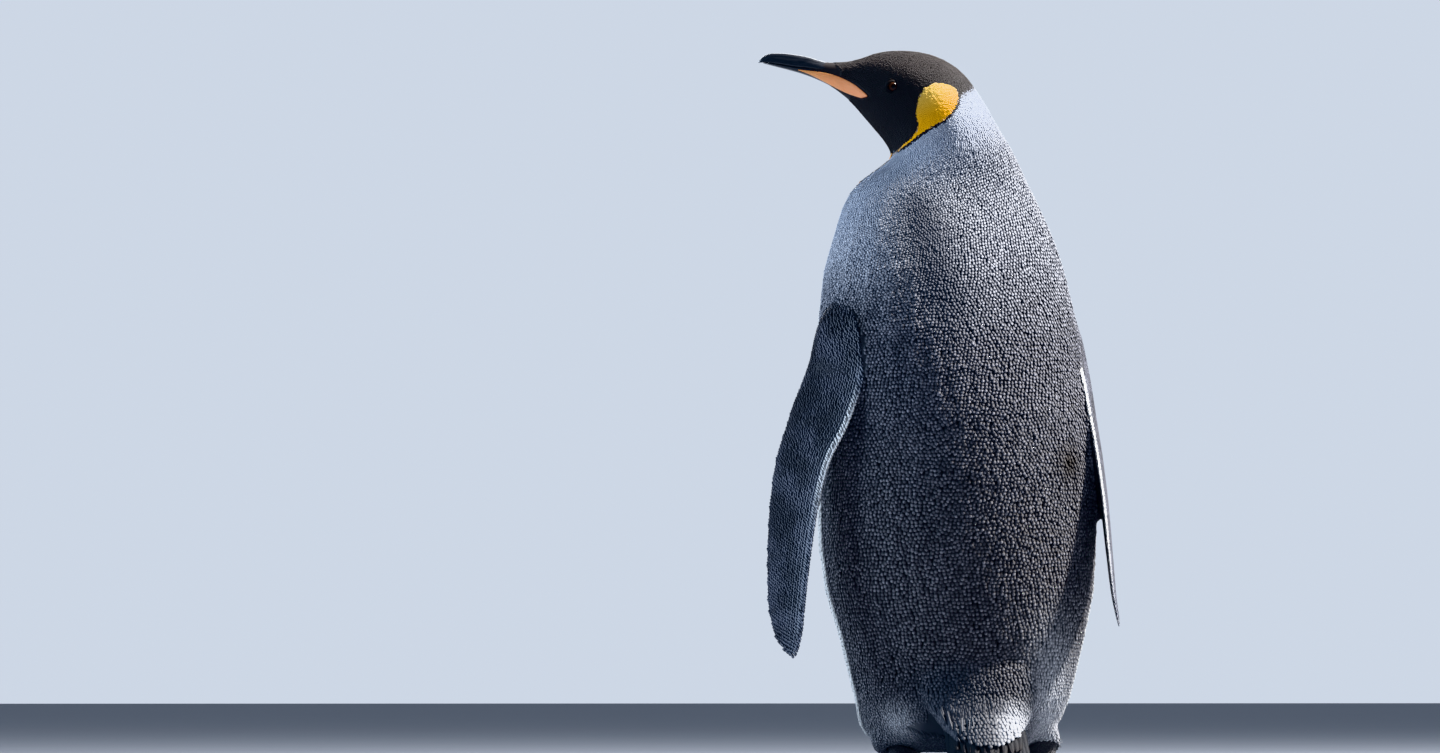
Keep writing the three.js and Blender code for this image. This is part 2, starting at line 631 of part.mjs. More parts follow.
// One feather: parallel-sided, then drawn to a blunt point, lying on a shallow arch across the tail.
function vane({ start, length, above, width, spread }, across, draw) {
  const turn = rad(FAN * across + 1.4 * draw());
  const long = length * (1 - 0.15 * across * across + 0.025 * draw());
  const rings = range(VANE_RINGS).map((i) => {
    const t = (i / (VANE_RINGS - 1)) ** 0.75;
    const half = (width / 2) * (t < 0.6 ? 1 : 1 - 0.74 * ((t - 0.6) / 0.4) ** 1.6);
    const thin = (VANE_THICKNESS / 2) * (1 - 0.45 * t);
    const along = start + long * t * Math.cos(turn);
    const out = spread * across + long * t * Math.sin(turn);
    const lift = above - 4.5 * across * across + 2.2 * t * t;
    return [[-1, 0], [-0.4, 1], [0.4, 1], [1, 0], [0.4, -1], [-0.4, -1]].map(([w, h]) =>
      tailPoint(along - half * w * Math.sin(turn), out + half * w * Math.cos(turn), lift + thin * h),
    );
  });
  return solidOf(loft(rings));
}

// What would reach below the floor is cut flat on it.
function underFloor() {
  const slab = new THREE.BoxGeometry(400, 400, 40);
  slab.translate(0, 0, -20);
  return solidOf(slab);
}

function tail() {
  const draw = drawFrom(11);
  const vanes = TIERS.flatMap((tier) =>
    range(tier.count).map((k) => vane(tier, (2 * k) / (tier.count - 1) - 1, draw)),
  );
  return cut(joined([stern(), ...vanes]), [torsoGrown, underFloor()]);
}

// ---- the bird -----------------------------------------------------------------------------------
const finish = (color, roughness) => new THREE.MeshStandardMaterial({ color, roughness, metalness: 0 });
const FINISHES = {
  back: finish('#5c6372', 0.75),
  hood: finish('#17161a', 0.7),
  breast: finish('#eef0ee', 0.8),
  flipper: finish('#2d3342', 0.7),
  horn: finish('#16171b', 0.4),
  plate: finish('#e08a4a', 0.45),
  eye: finish('#3a2318', 0.1),
  skin: finish('#26262a', 0.65),
};

const bird = new THREE.Group();
bird.position.set(-ORIGIN[0], -ORIGIN[1], 0);

function addNode(name, solid, material) {
  const mesh = new THREE.Mesh(geometryOf(solid), material);
  mesh.name = name;
  bird.add(mesh);
}

addNode('torso', torso, FINISHES.back);
addNode('neck', neck, FINISHES.back);
addNode('head', head, FINISHES.hood);
addNode('bill_upper', billUpper, FINISHES.horn);
addNode('bill_lower', billLower, FINISHES.horn);
addNode('tail', tail(), FINISHES.flipper);
Object.keys(SIDES).forEach((name, i) => {
  addNode(`bill_plate_${name}`, plates[i], FINISHES.plate);
  addNode(`eye_${name}`, eyes[i], FINISHES.eye);
  addNode(`flipper_${name}`, flipper(FLIPPERS[name], SIDES[name]), FINISHES.flipper);
  const { foot, shankGrown, claws } = footPieces(name);
  addNode(`leg_${name}`, cut(leg(name), [torsoGrown, shankGrown]), FINISHES.breast);
  addNode(`foot_${name}`, foot, FINISHES.skin);
  for (const [which, solid] of Object.entries(claws)) {
    addNode(`claw_${name}_${which}`, solid, FINISHES.horn);
  }
});

export default bird;
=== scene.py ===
"""A king penguin, life size, standing still with its head turned over its left shoulder."""

import math

import bmesh
import bpy
import numpy as np
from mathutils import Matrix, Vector
from mathutils.bvhtree import BVHTree
from mathutils.kdtree import KDTree


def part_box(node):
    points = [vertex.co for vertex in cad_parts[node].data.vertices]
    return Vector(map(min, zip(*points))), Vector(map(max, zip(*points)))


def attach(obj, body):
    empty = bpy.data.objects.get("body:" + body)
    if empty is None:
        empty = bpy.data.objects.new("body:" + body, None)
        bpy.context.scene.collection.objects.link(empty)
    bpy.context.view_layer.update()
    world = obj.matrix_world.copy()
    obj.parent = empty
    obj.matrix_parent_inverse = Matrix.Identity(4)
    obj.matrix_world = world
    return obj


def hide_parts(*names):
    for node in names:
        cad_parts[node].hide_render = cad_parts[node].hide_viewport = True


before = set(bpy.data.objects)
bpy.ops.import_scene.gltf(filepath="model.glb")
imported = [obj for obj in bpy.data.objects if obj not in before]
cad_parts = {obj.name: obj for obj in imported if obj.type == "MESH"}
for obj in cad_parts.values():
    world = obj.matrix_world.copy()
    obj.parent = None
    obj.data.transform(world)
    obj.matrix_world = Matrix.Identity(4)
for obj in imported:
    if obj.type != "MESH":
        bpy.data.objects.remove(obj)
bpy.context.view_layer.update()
scene = bpy.context.scene
scene.view_settings.view_transform = "Khronos PBR Neutral"

# ---- camera ------------------------------------------
# A long lens, set low down and far behind the bird, a little to its left. It takes the bird in from the
# rump up.
CAMERA_AT = Vector((1.6292, 7.8140, 0.125))
CAMERA_AIM = Vector((0.2400, -0.0645, 0.486))
LENS = 174.1  # millimetres

camera = bpy.data.objects.new("camera", bpy.data.cameras.new("camera"))
camera.data.lens = LENS
camera.location = CAMERA_AT
camera.rotation_euler = (CAMERA_AIM - CAMERA_AT).to_track_quat("-Z", "Y").to_euler()
scene.collection.objects.link(camera)
scene.camera = camera


# ---- studio ------------------------------------------
# A plain pale floor and a pale surround, lighter in front of the bird than behind it; a strong soft lamp
# high on the bird's right, a cool one on its left and a weak one in front.
class Shade:
    """A value in a shader. Arithmetic on it adds Math nodes, and node() adds any other node."""

    def __init__(self, tree, socket=None):
        self.tree = tree
        self.socket = socket

    def node(self, kind, settings=None, sockets=None, out=0):
        made = self.tree.nodes.new("ShaderNode" + kind)
        for name, value in (settings or {}).items():
            setattr(made, name, value)
        for name, value in (sockets or {}).items():
            self.feed(made.inputs[name], value)
        return Shade(self.tree, made.outputs[out])

    def feed(self, socket, value):
        """Links a value of this tree to a socket, or sets the socket to a plain number or colour."""
        if isinstance(value, Shade):
            self.tree.links.new(value.socket, socket)
        else:
            socket.default_value = value

    def maths(self, operation, *values):
        return self.node("Math", {"operation": operation}, dict(enumerate(values)))

    def __add__(self, other):
        return self.maths("ADD", self, other)

    def __sub__(self, other):
        return self.maths("SUBTRACT", self, other)

    def __rsub__(self, other):
        return self.maths("SUBTRACT", other, self)

    def __mul__(self, other):
        return self.maths("MULTIPLY", self, other)

    __radd__ = __add__
    __rmul__ = __mul__

    def between(self, low, high):
        """0 below low, 1 above high, and smooth between them."""
        settings = {"interpolation_type": "SMOOTHSTEP"}
        return self.node("MapRange", settings, {"Value": self, "From Min": low, "From Max": high})

    def mix(self, without, full):
        """One colour where this value is 0 and another where it is 1."""
        colours = [c if isinstance(c, Shade) else (*c, 1.0) for c in (without, full)]
        return self.node("Mix", {"data_type": "RGBA"}, {0: self, 6: colours[0], 7: colours[1]}, out=2)

    def feature(self, name):
        """A number that the mesh keeps for each of its points."""
        return self.node("Attribute", {"attribute_name": name}, out=2)

    def axis(self, number):
        """One coordinate of a place."""
        return self.node("SeparateXYZ", {}, {0: self}, out=number)

    def noise(self, where, scale, detail=2.0, rough=0.5):
        inputs = {"Vector": where, "Scale": scale, "Detail": detail, "Roughness": rough}
        return self.node("TexNoise", {}, inputs)

    def place(self):
        return self.node("TexCoord", out=3)

    def bump(self, height, depth, strength=1.0):
        return self.node("Bump", {}, {"Height": height, "Distance": depth, "Strength": strength})


def material(name, paint, **fixed):
    """A material whose sockets are the fixed numbers, and what paint(shade) gives for those that vary."""
    made = bpy.data.materials.new(name)
    made.use_nodes = True
    shader = made.node_tree.nodes["Principled BSDF"]
    shade = Shade(made.node_tree)
    given = {key.replace("_", " ").title().replace("Ior", "IOR"): value for key, value in fixed.items()}
    for name, value in {**given, **paint(shade)}.items():
        shade.feed(shader.inputs[name], value)
    return made


def as_mesh(bm, name):
    """The mesh that a finished bmesh becomes."""
    made = bpy.data.meshes.new(name)
    bm.to_mesh(made)
    bm.free()
    return made


FLOOR_REACH = 60.0


def floor_paint(shade):
    grain = shade.noise(shade.place(), 3.0)
    return {"Base Color": grain.mix((0.19, 0.21, 0.245), (0.21, 0.23, 0.265)), "Roughness": 0.85}


bm = bmesh.new()
bmesh.ops.create_grid(bm, x_segments=1, y_segments=1, size=FLOOR_REACH)
floor = bpy.data.objects.new("floor", as_mesh(bm, "floor"))
floor.data.materials.append(material("pale_floor", floor_paint))
scene.collection.objects.link(floor)

scene.world = bpy.data.worlds.new("surround")
scene.world.use_nodes = True
surround = scene.world.node_tree
looking = Shade(surround).node("TexCoord", out=0)
behind = looking.axis(0) * 0.2 + looking.axis(1)
haze = behind.between(-0.9, 0.7).mix((0.66, 0.73, 0.84), (0.115, 0.14, 0.20))
surround.links.new(haze.socket, surround.nodes["Background"].inputs["Color"])

LAMPS = {  # place, size, watts, colour
    "key_lamp": ((-4.25, 0.05, 5.1), 0.7, 2050.0, (1.0, 0.975, 0.96)),
    "cool_lamp": ((4.8, -0.5, 2.6), 2.4, 330.0, (0.66, 0.81, 1.0)),
    "front_lamp": ((-0.5, -5.0, 2.8), 2.6, 170.0, (0.95, 0.97, 1.0)),
}
for name, (at, size, watts, colour) in LAMPS.items():
    lamp = bpy.data.lights.new(name, "AREA")
    lamp.shape = "DISK"
    lamp.size = size
    lamp.energy = watts
    lamp.color = colour
    holder = bpy.data.objects.new(name, lamp)
    holder.location = at
    holder.rotation_euler = (Vector((0, 0, 0.5)) - Vector(at)).to_track_quat("-Z", "Y").to_euler()
    scene.collection.objects.link(holder)

# ---- skin --------------------------------------------
# One skin under the whole coat: torso, neck, head, legs, flippers and the stern that carries the tail.
# It lies as deep below the outline as the coat is thick there, and has the coat's markings, with its
# painted shade and light.
MM = 0.001
PROFILE_TURN = math.radians(-10)  # the head's plane of symmetry, turned from +X
AXIS = np.array([-0.0295, -0.017, 0.0])  # the upright axis of the body
ALONG = np.array([math.cos(PROFILE_TURN), math.sin(PROFILE_TURN), 0.0])  # the way the head looks
BACK = np.array([-math.sin(PROFILE_TURN), math.cos(PROFILE_TURN), 0.0])
UP = np.array([0.0, 0.0, 1.0])


def place(left, back, up):
    """A point from millimetres along the head's plane, square to it, and up."""
    left, back, up = (np.asarray(v, float)[..., None] * MM for v in np.broadcast_arrays(left, back, up))
    return AXIS + ALONG * left + BACK * back + UP * up


def in_profile(points):
    """The way back: millimetres along the head's plane, square to it, and up."""
    from_axis = points - AXIS
    return from_axis @ ALONG / MM, from_axis @ BACK / MM, points[:, 2] / MM


def track(*pairs):
    """A smooth curve through pairs of [position, value]."""
    at, value = np.array(pairs, float).T
    before = np.maximum(np.arange(len(at)) - 1, 0)
    after = np.minimum(np.arange(len(at)) + 1, len(at) - 1)
    slope = (value[after] - value[before]) / (at[after] - at[before])

    def sample(t):
        i = np.clip(np.searchsorted(at, t, side="right") - 1, 0, len(at) - 2)
        h = at[i + 1] - at[i]
        s = np.clip((t - at[i]) / h, 0, 1)
        start = (1 + 2 * s) * (1 - s) ** 2 * value[i] + s * (1 - s) ** 2 * h * slope[i]
        return start + s * s * (3 - 2 * s) * value[i + 1] + s * s * (s - 1) * h * slope[i + 1]

    return sample


def ramp(value, low, high):
    """0 below low, 1 above high, and smooth between them; high may be the lower one."""
    s = np.clip((value - low) / (high - low), 0, 1)
    return s * s * (3 - 2 * s)


def bump_at(value, middle, width):
    return np.exp(-((value - middle) / width) ** 2)


def ringed(bm, rings, closed=False):
    """A surface through rings of points, capped at both ends or run round on itself."""
    loops = []
    for ring in rings:
        corners = bmesh.ops.create_circle(bm, segments=len(ring), radius=1.0)["verts"]
        for corner, point in zip(corners, ring):
            corner.co = point
        loops.append(list({edge for corner in corners for edge in corner.link_edges}))
    pairs = list(zip(loops, loops[1:] + loops[:1] if closed else loops[1:]))
    for one, other in pairs:
        bmesh.ops.bridge_loops(bm, edges=one + other)
    if not closed:
        bmesh.ops.holes_fill(bm, edges=bm.edges, sides=0)
    bmesh.ops.recalc_face_normals(bm, faces=bm.faces)


def add_piece(name, mesh, finish, slot, *nodes):
    """Puts a finished mesh on the bird, smooth, in the place of the solids that it stands for."""
    piece = bpy.data.objects.new(name, mesh)
    scene.collection.objects.link(piece)
    mesh.materials.clear()
    mesh.materials.append(finish)
    mesh.polygons.foreach_set("use_smooth", [True] * len(mesh.polygons))
    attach(piece, "root")
    if nodes:
        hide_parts(*nodes)
    return piece


def baked(mesh, *modifiers):
    """A copy of a mesh with modifiers applied, each as a type and its settings."""
    holder = bpy.data.objects.new("workpiece", mesh)
    scene.collection.objects.link(holder)
    for kind, settings in modifiers:
        modifier = holder.modifiers.new(kind.lower(), kind)
        for name, value in settings.items():
            setattr(modifier, name, value)
    made = bpy.data.meshes.new_from_object(holder.evaluated_get(bpy.context.evaluated_depsgraph_get()))
    bpy.data.objects.remove(holder)
    return made


def kept_by(collection, name, width, kind=float):
    """What a mesh keeps under a name for each of its points, faces or corners, one row each."""
    values = np.empty(len(collection) * width, kind)
    collection.foreach_get(name, values)
    return values.reshape(-1, width)


def points_of(mesh):
    return kept_by(mesh.vertices, "co", 3)


def normals_of(mesh):
    return kept_by(mesh.vertex_normals, "vector", 3)


def move_points(mesh, points):
    mesh.vertices.foreach_set("co", points.ravel())
    mesh.update()


def node_shape(bm, node, grow=0.0):
    """Adds a CAD node's shape with its corners joined, grown a little so that neighbours fuse."""
    part = bmesh.new()
    part.from_mesh(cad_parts[node].data)
    bmesh.ops.remove_doubles(part, verts=part.verts, dist=1e-5)
    part.normal_update()
    for corner in part.verts:
        corner.co += corner.normal * grow
    bm.from_mesh(as_mesh(part, "part"))


def tree_of(*nodes):
    bm = bmesh.new()
    for node in nodes:
        node_shape(bm, node)
    return BVHTree.FromBMesh(bm)


def nearness(tree, points, reach):
    """How far each point is from a surface, up to reach."""
    found = [tree.find_nearest(p, reach)[3] for p in points]
    return np.array([reach if far is None else far for far in found])


FLESH = ["torso", "neck", "head", "leg_left", "leg_right", "flipper_left", "flipper_right"]
FILLING = ["eye_left", "eye_right", "bill_upper", "bill_lower", "bill_plate_left", "bill_plate_right"]
STERN = [  # the line of the rump carried down to the tail: back and up on top, then underneath, half width
    [101, 205, 34, 128, 66],
    [109, 176, 60, 104, 72],
    [115, 148, 84, 84, 67],
    [121, 122, 104, 74, 58],
    [128, 99, 120, 71, 49],
    [135, 82, 131, 73, 43],
    [141, 71, 139, 68, 40],
]
TAIL_SHIFT = -5
VOXEL = 3.25 * MM

bm = bmesh.new()
turns = np.linspace(0, 2 * math.pi, 32, endpoint=False)
share = (1 + np.sin(turns)) / 2
stern_rings = []
for top_back, top_up, low_back, low_up, half in STERN:
    ring = np.stack([
        TAIL_SHIFT + half * np.cos(turns),
        low_back + (top_back - low_back) * share,
        low_up + (top_up - low_up) * share,
    ], axis=1)
    stern_rings.append(AXIS + ring * MM)
ringed(bm, stern_rings)
for node in FLESH + FILLING:
    node_shape(bm, node, 0.4 * MM)
skin_mesh = baked(
    as_mesh(bm, "flesh"),
    ("REMESH", {"mode": "VOXEL", "voxel_size": VOXEL, "adaptivity": 0.0}),
    ("SMOOTH", {"factor": 0.5, "iterations": 7}),
)

flipper_tree = tree_of("flipper_left", "flipper_right")
bill_tree = tree_of("bill_upper", "bill_lower", "bill_plate_left", "bill_plate_right")
torso_tree = tree_of("torso")

surface = points_of(skin_mesh)
outward = normals_of(skin_mesh)
on_flipper = ramp(nearness(flipper_tree, surface, 0.02), 4 * MM, 2 * MM)
left, back, up = in_profile(surface)
coat_depth = 1.2 + 1.5 * ramp(up, 800, 690)
coat_depth = coat_depth * (1 - on_flipper) + 1.5 * on_flipper
move_points(skin_mesh, surface - outward * coat_depth[:, None] * MM)

# Where the coat changes colour. The hood ends on a slanting plane behind the ears; the white of the belly
# ends on a line down each flank, given as an angle round the body from the middle of the back, by height.
HOOD_EDGE = (77.5, 741.5)
HOOD_WAY = (0.594, 0.804)
WAIST = track([54, 43], [76, 108], [113, 122], [183, 139], [275, 157], [335, 161], [413, 160], [505, 152],
              [574, 147.5], [654, 125], [712, 97], [735, 76], [790, 60], [862, 50])
WAIST_MIDDLE = track([54, 0], [230, -2.5], [413, -1], [505, 6], [574, 13.4], [654, 15.5], [712, 17],
                     [790, 20])
RIGHT_LINE = track([50, 84], [190, 86], [300, 92], [450, 95], [515, 99], [565, 118], [610, 124], [650, 128],
                   [690, 142], [715, 175], [730, 215], [742, 262])
LEFT_LINE = track([50, 285], [250, 284], [400, 281], [560, 276], [650, 275], [690, 279], [715, 283],
                  [742, 284])
EAR_PATCH = [  # teardrop outline along and up the head's plane
    (29, 820.5), (19, 821), (9, 818), (3, 813), (1.3, 806), (3, 795), (10, 786), (17, 778.8), (26, 773.3),
    (38, 766.8), (50.5, 757.6), (58.5, 751.7), (67, 745.5), (75, 739.7), (61, 752.4), (55, 757.6),
    (48.5, 765.5), (46.5, 773.3), (49.3, 782), (49.3, 792), (46.3, 804), (40, 815.2),
]


def inside_outline(left, up, outline):
    """How far points lie inside an outline, in millimetres; negative outside it."""
    corner = np.array(outline, float)
    ahead = np.roll(corner, -1, axis=0)
    point = np.stack([left, up], axis=1)
    nearest = np.full(len(point), np.inf)
    inside = np.zeros(len(point), bool)
    for a, b in zip(corner, ahead):
        share = np.clip(((point - a) @ (b - a)) / ((b - a) @ (b - a)), 0, 1)
        nearest = np.minimum(nearest, np.linalg.norm(point - a - share[:, None] * (b - a), axis=1))
        crosses = (a[1] > point[:, 1]) != (b[1] > point[:, 1])
        reach = a[0] + (point[:, 1] - a[1]) * (b[0] - a[0]) / (b[1] - a[1] if b[1] != a[1] else 1e-9)
        inside ^= crosses & (point[:, 0] < reach)
    return np.where(inside, nearest, -nearest)


def behind_hood(left, up):
    """Millimetres in front of the plane where the hood ends; negative behind it."""
    return (left - HOOD_EDGE[0]) * HOOD_WAY[0] + (up - HOOD_EDGE[1]) * HOOD_WAY[1]


def markings(points):
    """The coat's markings at points, and the shade and light painted on it: how much each shows there."""
    left, back, up = in_profile(points)
    waist = WAIST(up)
    deep = waist * np.where(back > 0, 0.78, 0.93)
    angle = np.degrees(np.arctan2(-(left - WAIST_MIDDLE(up)) / waist, back / deep)) % 360
    inner = np.minimum(angle - RIGHT_LINE(up), LEFT_LINE(up) - angle) * np.radians(1) * waist
    past_hood = behind_hood(left, up)
    in_patch = inside_outline(left, up, EAR_PATCH)
    patch = ramp(in_patch, -0.8, 0.8)
    rim = ramp(in_patch, -3.4, -2.0)
    sharp = 1 + 15 * ramp(left, 32, -5)
    hood = np.maximum(ramp(past_hood, -0.5 * sharp, sharp), rim * ramp(up, 735, 750)) * (1 - patch)
    blur = 1.5 + 8 * ramp(up, 420, 260)
    breast = ramp(inner, -0.5 * blur, 1.5 * blur) * (past_hood < 0) * (1 - patch)
    stripe = ramp(inner, -7.5, -5.5) * ramp(inner, 1.5, -1.0) * ramp(up, 330, 520) * (past_hood < 0)
    gold = np.maximum(patch, breast * ramp(up, 575, 700))
    edges = np.maximum(bump_at(left, -60, 20), 0.6 * bump_at(left, 70, 24))
    # A band of painted shade down the middle of the upper back.
    painted_shade_band = bump_at(left, 24 + 0.235 * (up - 574), 36) * ramp(up, 500, 590) * ramp(up, 735, 670)
    worn = bump_at(left, -123, 13) * bump_at(up, 386, 21)
    worn += 0.8 * bump_at(left, 121, 15) * bump_at(up, 538, 26)
    return {
        # Pale feathers by the legs and tail, paler on the rump's right side as painted sunlight.
        "pale_wisp_and_painted_sun": np.maximum.reduce([
            edges * ramp(up, 128, 84) * ramp(back, 40, 75), 0.12 * ramp(up, 135, 75),
            0.5 * bump_at(left, -104, 26) * ramp(up, 250, 110) * ramp(back, -30, 10),
        ]),
        # Painted shade over the middle of the rump and the roots of the tail.
        "dark": bump_at(left, 3, 50) * ramp(up, 175, 125) * (back > 20),
        "worn": worn * (back > 0),
        "painted_shade_band": painted_shade_band * (back > 0),
        "hood": np.maximum(hood, stripe * (1 - patch)),
        "white": breast,
        "gold": gold,
        # Smooth silvery feathers below the hood and on the left shoulder; their pale colour is partly a
        # painted sky sheen.
        "satin_and_painted_sheen": np.maximum(ramp(past_hood, -90, -12), 0.5 * ramp(left, 58, 108) * ramp(up, 550, 640)),
        "amber": np.where(patch > 0.5, ramp(up + 0.45 * left, 832, 790), ramp(up, 640, 725)),
    }


def keep_features(mesh, features, copies=1):
    for name, values in features.items():
        stored = mesh.attributes.new(name, "FLOAT", "POINT")
        stored.data.foreach_set("value", np.repeat(values, copies).astype(np.float32))


def on_vane(shade):
    """A feather's own flat map, and places across it, 0 in the middle, and down it, 1 at the tip."""
    vane = shade.node("UVMap", {"uv_map": "vane"})
    return vane, vane.axis(0) - 0.5, vane.axis(1)


def barbs_on(shade, vane, scale, wander, run="Y"):
    """The fine barbs of a feather, as stripes over its flat map."""
    inputs = {"Vector": vane, "Scale": scale, "Distortion": wander}
    return shade.node("TexWave", {"bands_direction": run}, inputs)


def plumage_paint(shade):
    """Pale-tipped slate feathers, silver on the neck and darker down the back, the markings, painted shade
    and light.
    """
    where = shade.place()
    height = where.axis(2)
    vane, across, down = on_vane(shade)
    draw = shade.feature("draw")
    stray = shade.noise(where, 34.0)
    fleck = shade.noise(where, 330.0, 1.0).between(0.34, 0.62)
    tip = down.between(0.6, 0.84) * (1 - across * across * 4.0) * (0.34 + draw * 0.76) * (0.42 + fleck * 0.6)
    neck = (height + (stray - 0.5) * 0.07).between(0.50, 0.70)
    upper = (height + (stray - 0.5) * 0.10).between(0.24, 0.66)
    # Satin feathers: paler and flatter in colour, partly as a painted sheen of the sky.
    satin_and_painted_sheen = shade.feature("satin_and_painted_sheen")
    shaded = neck.mix(upper.mix((0.042, 0.039, 0.040), (0.042, 0.044, 0.054)), (0.062, 0.069, 0.092))
    lit = neck.mix(upper.mix((0.235, 0.23, 0.25), (0.26, 0.265, 0.31)), (0.86, 0.88, 0.93))
    slate = tip.mix(satin_and_painted_sheen.mix(shaded, (0.30, 0.335, 0.41)), satin_and_painted_sheen.mix(lit, (0.66, 0.70, 0.77)))
    # Pale feathers, partly painted sunlight on the rump's right side.
    pale_wisp_and_painted_sun = (0.55 + tip * 0.45).mix((0.05, 0.06, 0.08), (0.92, 0.94, 0.98))
    slate = shade.feature("pale_wisp_and_painted_sun").mix(slate, pale_wisp_and_painted_sun)
    # Painted shade darkens the middle of the rump and the tail coverts.
    slate = (shade.feature("dark") * 0.72).mix(slate, (0.024, 0.030, 0.043))
    # Painted shade: the band down the middle of the upper back darkens to deep slate.
    slate = (shade.feature("painted_shade_band") * 0.88).mix(slate, (0.040, 0.046, 0.064))
    slate = shade.feature("worn").mix(slate, tip.mix((0.010, 0.008, 0.007), (0.06, 0.05, 0.042)))
    white = (tip * 0.6 + draw * 0.4).mix((0.54, 0.54, 0.525), (0.72, 0.72, 0.70))
    # Painted shade: the belly's white greys over the thighs near the floor.
    thigh_white_in_painted_shade = tip.mix((0.36, 0.36, 0.355), (0.56, 0.56, 0.55))
    coat = shade.feature("white").mix(slate, height.between(0.105, 0.060).mix(white, thigh_white_in_painted_shade))
    ear = shade.feature("amber").mix((0.95, 0.64, 0.15), (0.96, 0.47, 0.006))
    throat = shade.feature("amber").mix((0.72, 0.43, 0.06), (0.70, 0.27, 0.003))
    coat = shade.feature("gold").mix(coat, height.between(0.745, 0.735).mix(ear, throat))
    on_top = (height + (stray - 0.5) * 0.02).between(0.815, 0.862)
    crown = on_top.mix((0.044, 0.039, 0.038), (0.068, 0.054, 0.050))
    black = (tip * 0.7 + stray * 0.3).mix((0.032, 0.028, 0.027), crown)
    pepper = shade.noise(where, 620.0, 1.0) - 0.5
    coat = (shade.feature("hood") + pepper * 1.1).between(0.4, 0.6).mix(coat, black)
    return {"Base Color": coat, "Normal": shade.bump(barbs_on(shade, vane, 5.0, 1.5), 0.00012, 0.5)}


SOFT_COAT = {"roughness": 0.62, "sheen_weight": 0.03, "sheen_roughness": 0.35, "specular_ior_level": 0.2}
plumage = material("plumage", plumage_paint, **SOFT_COAT)

skin_marks = markings(points_of(skin_mesh))
for name in ("white", "gold", "hood"):
    skin_marks[name] = skin_marks[name] * (1 - on_flipper)
keep_features(skin_mesh, skin_marks)
skin_mesh.attributes.new("draw", "FLOAT", "POINT")
skin_mesh.uv_layers.new(name="OFBake")
skin = add_piece("skin", skin_mesh, plumage, "plumage_back", *FLESH)
bpy.context.view_layer.objects.active = skin
skin.select_set(True)
bpy.ops.object.mode_set(mode="EDIT")
bpy.ops.mesh.select_all(action="SELECT")
bpy.ops.uv.smart_project(angle_limit=math.radians(66), island_margin=0.003)
bpy.ops.object.mode_set(mode="OBJECT")

# ---- body coat ---------------------------------------
# Tens of thousands of small stiff feathers in rings like shingles, each over the roots of the next, from
# velvet on the face to broad scales on the back, with longer softer ones over the rump and the legs.
NECK_SPACING = track([-900, 4.8], [-400, 4.8], [-260, 4.5], [-150, 4.0], [-60, 3.1], [-25, 2.4], [0, 2.0],
                     [140, 2.1])
LOW_SPACING = track([0, 0.62], [90, 0.7], [160, 0.97], [200, 1], [900, 1])
BILL_END = place(190, 0, 850)
rng = np.random.default_rng(7)


middles = kept_by(skin_mesh.polygons, "center", 3)
areas = kept_by(skin_mesh.polygons, "area", 1)[:, 0]
skin_tree = BVHTree.FromPolygons([v.co for v in skin_mesh.vertices], [p.vertices for p in skin_mesh.polygons])


def spacing_at(points):
    """How far apart feathers stand at points."""
    left, _, up = in_profile(points)
    broad = 1 + 0.22 * markings(points)["white"] * ramp(up, 735, 640)
    return NECK_SPACING(behind_hood(left, up)) * LOW_SPACING(up) * broad * MM


def unit(vectors):
    return vectors / np.maximum(np.linalg.norm(vectors, axis=1, keepdims=True), 1e-12)


def settle(points, spacing, rounds):
    """Feather roots pushed apart on the skin until they are spread evenly."""
    for _ in range(rounds):
        near = KDTree(len(points))
        for i, point in enumerate(points):
            near.insert(point, i)
        near.balance()
        others = np.array([[other for _, other, _ in near.find_n(p, 7)][1:] for p in points])
        apart = points[:, None] - points[others]
        far = np.linalg.norm(apart, axis=2, keepdims=True) + 1e-9
        room = spacing[:, None, None] * 1.12
        push = (apart / far * np.clip(room - far, 0, None)).sum(axis=1) * 0.32
        points = np.array([skin_tree.find_nearest(p)[0] for p in points + push])
    return points


# On the head and under the tail the roots are counted out by the skin that each feather covers. From the
# hood down they stand in rows round the neck and body, each row half a step on from the last. The tracks
# give the middle of a row and its tilt in degrees, by how far down the body it is.
ROWS_LEFT = track([0, 35], [60, 22], [130, 15], [220, 11], [300, 4], [660, 0])
ROWS_UP = track([0, 773], [60, 714], [130, 645], [220, 556], [300, 476], [660, 116])
ROWS_TILT = track([0, 36.5], [60, 30], [130, 18], [220, 6], [300, 0], [660, 0])
ROWS_END = 120
ROW_STEP = 0.87  # from row to row, as a share of the spacing along them


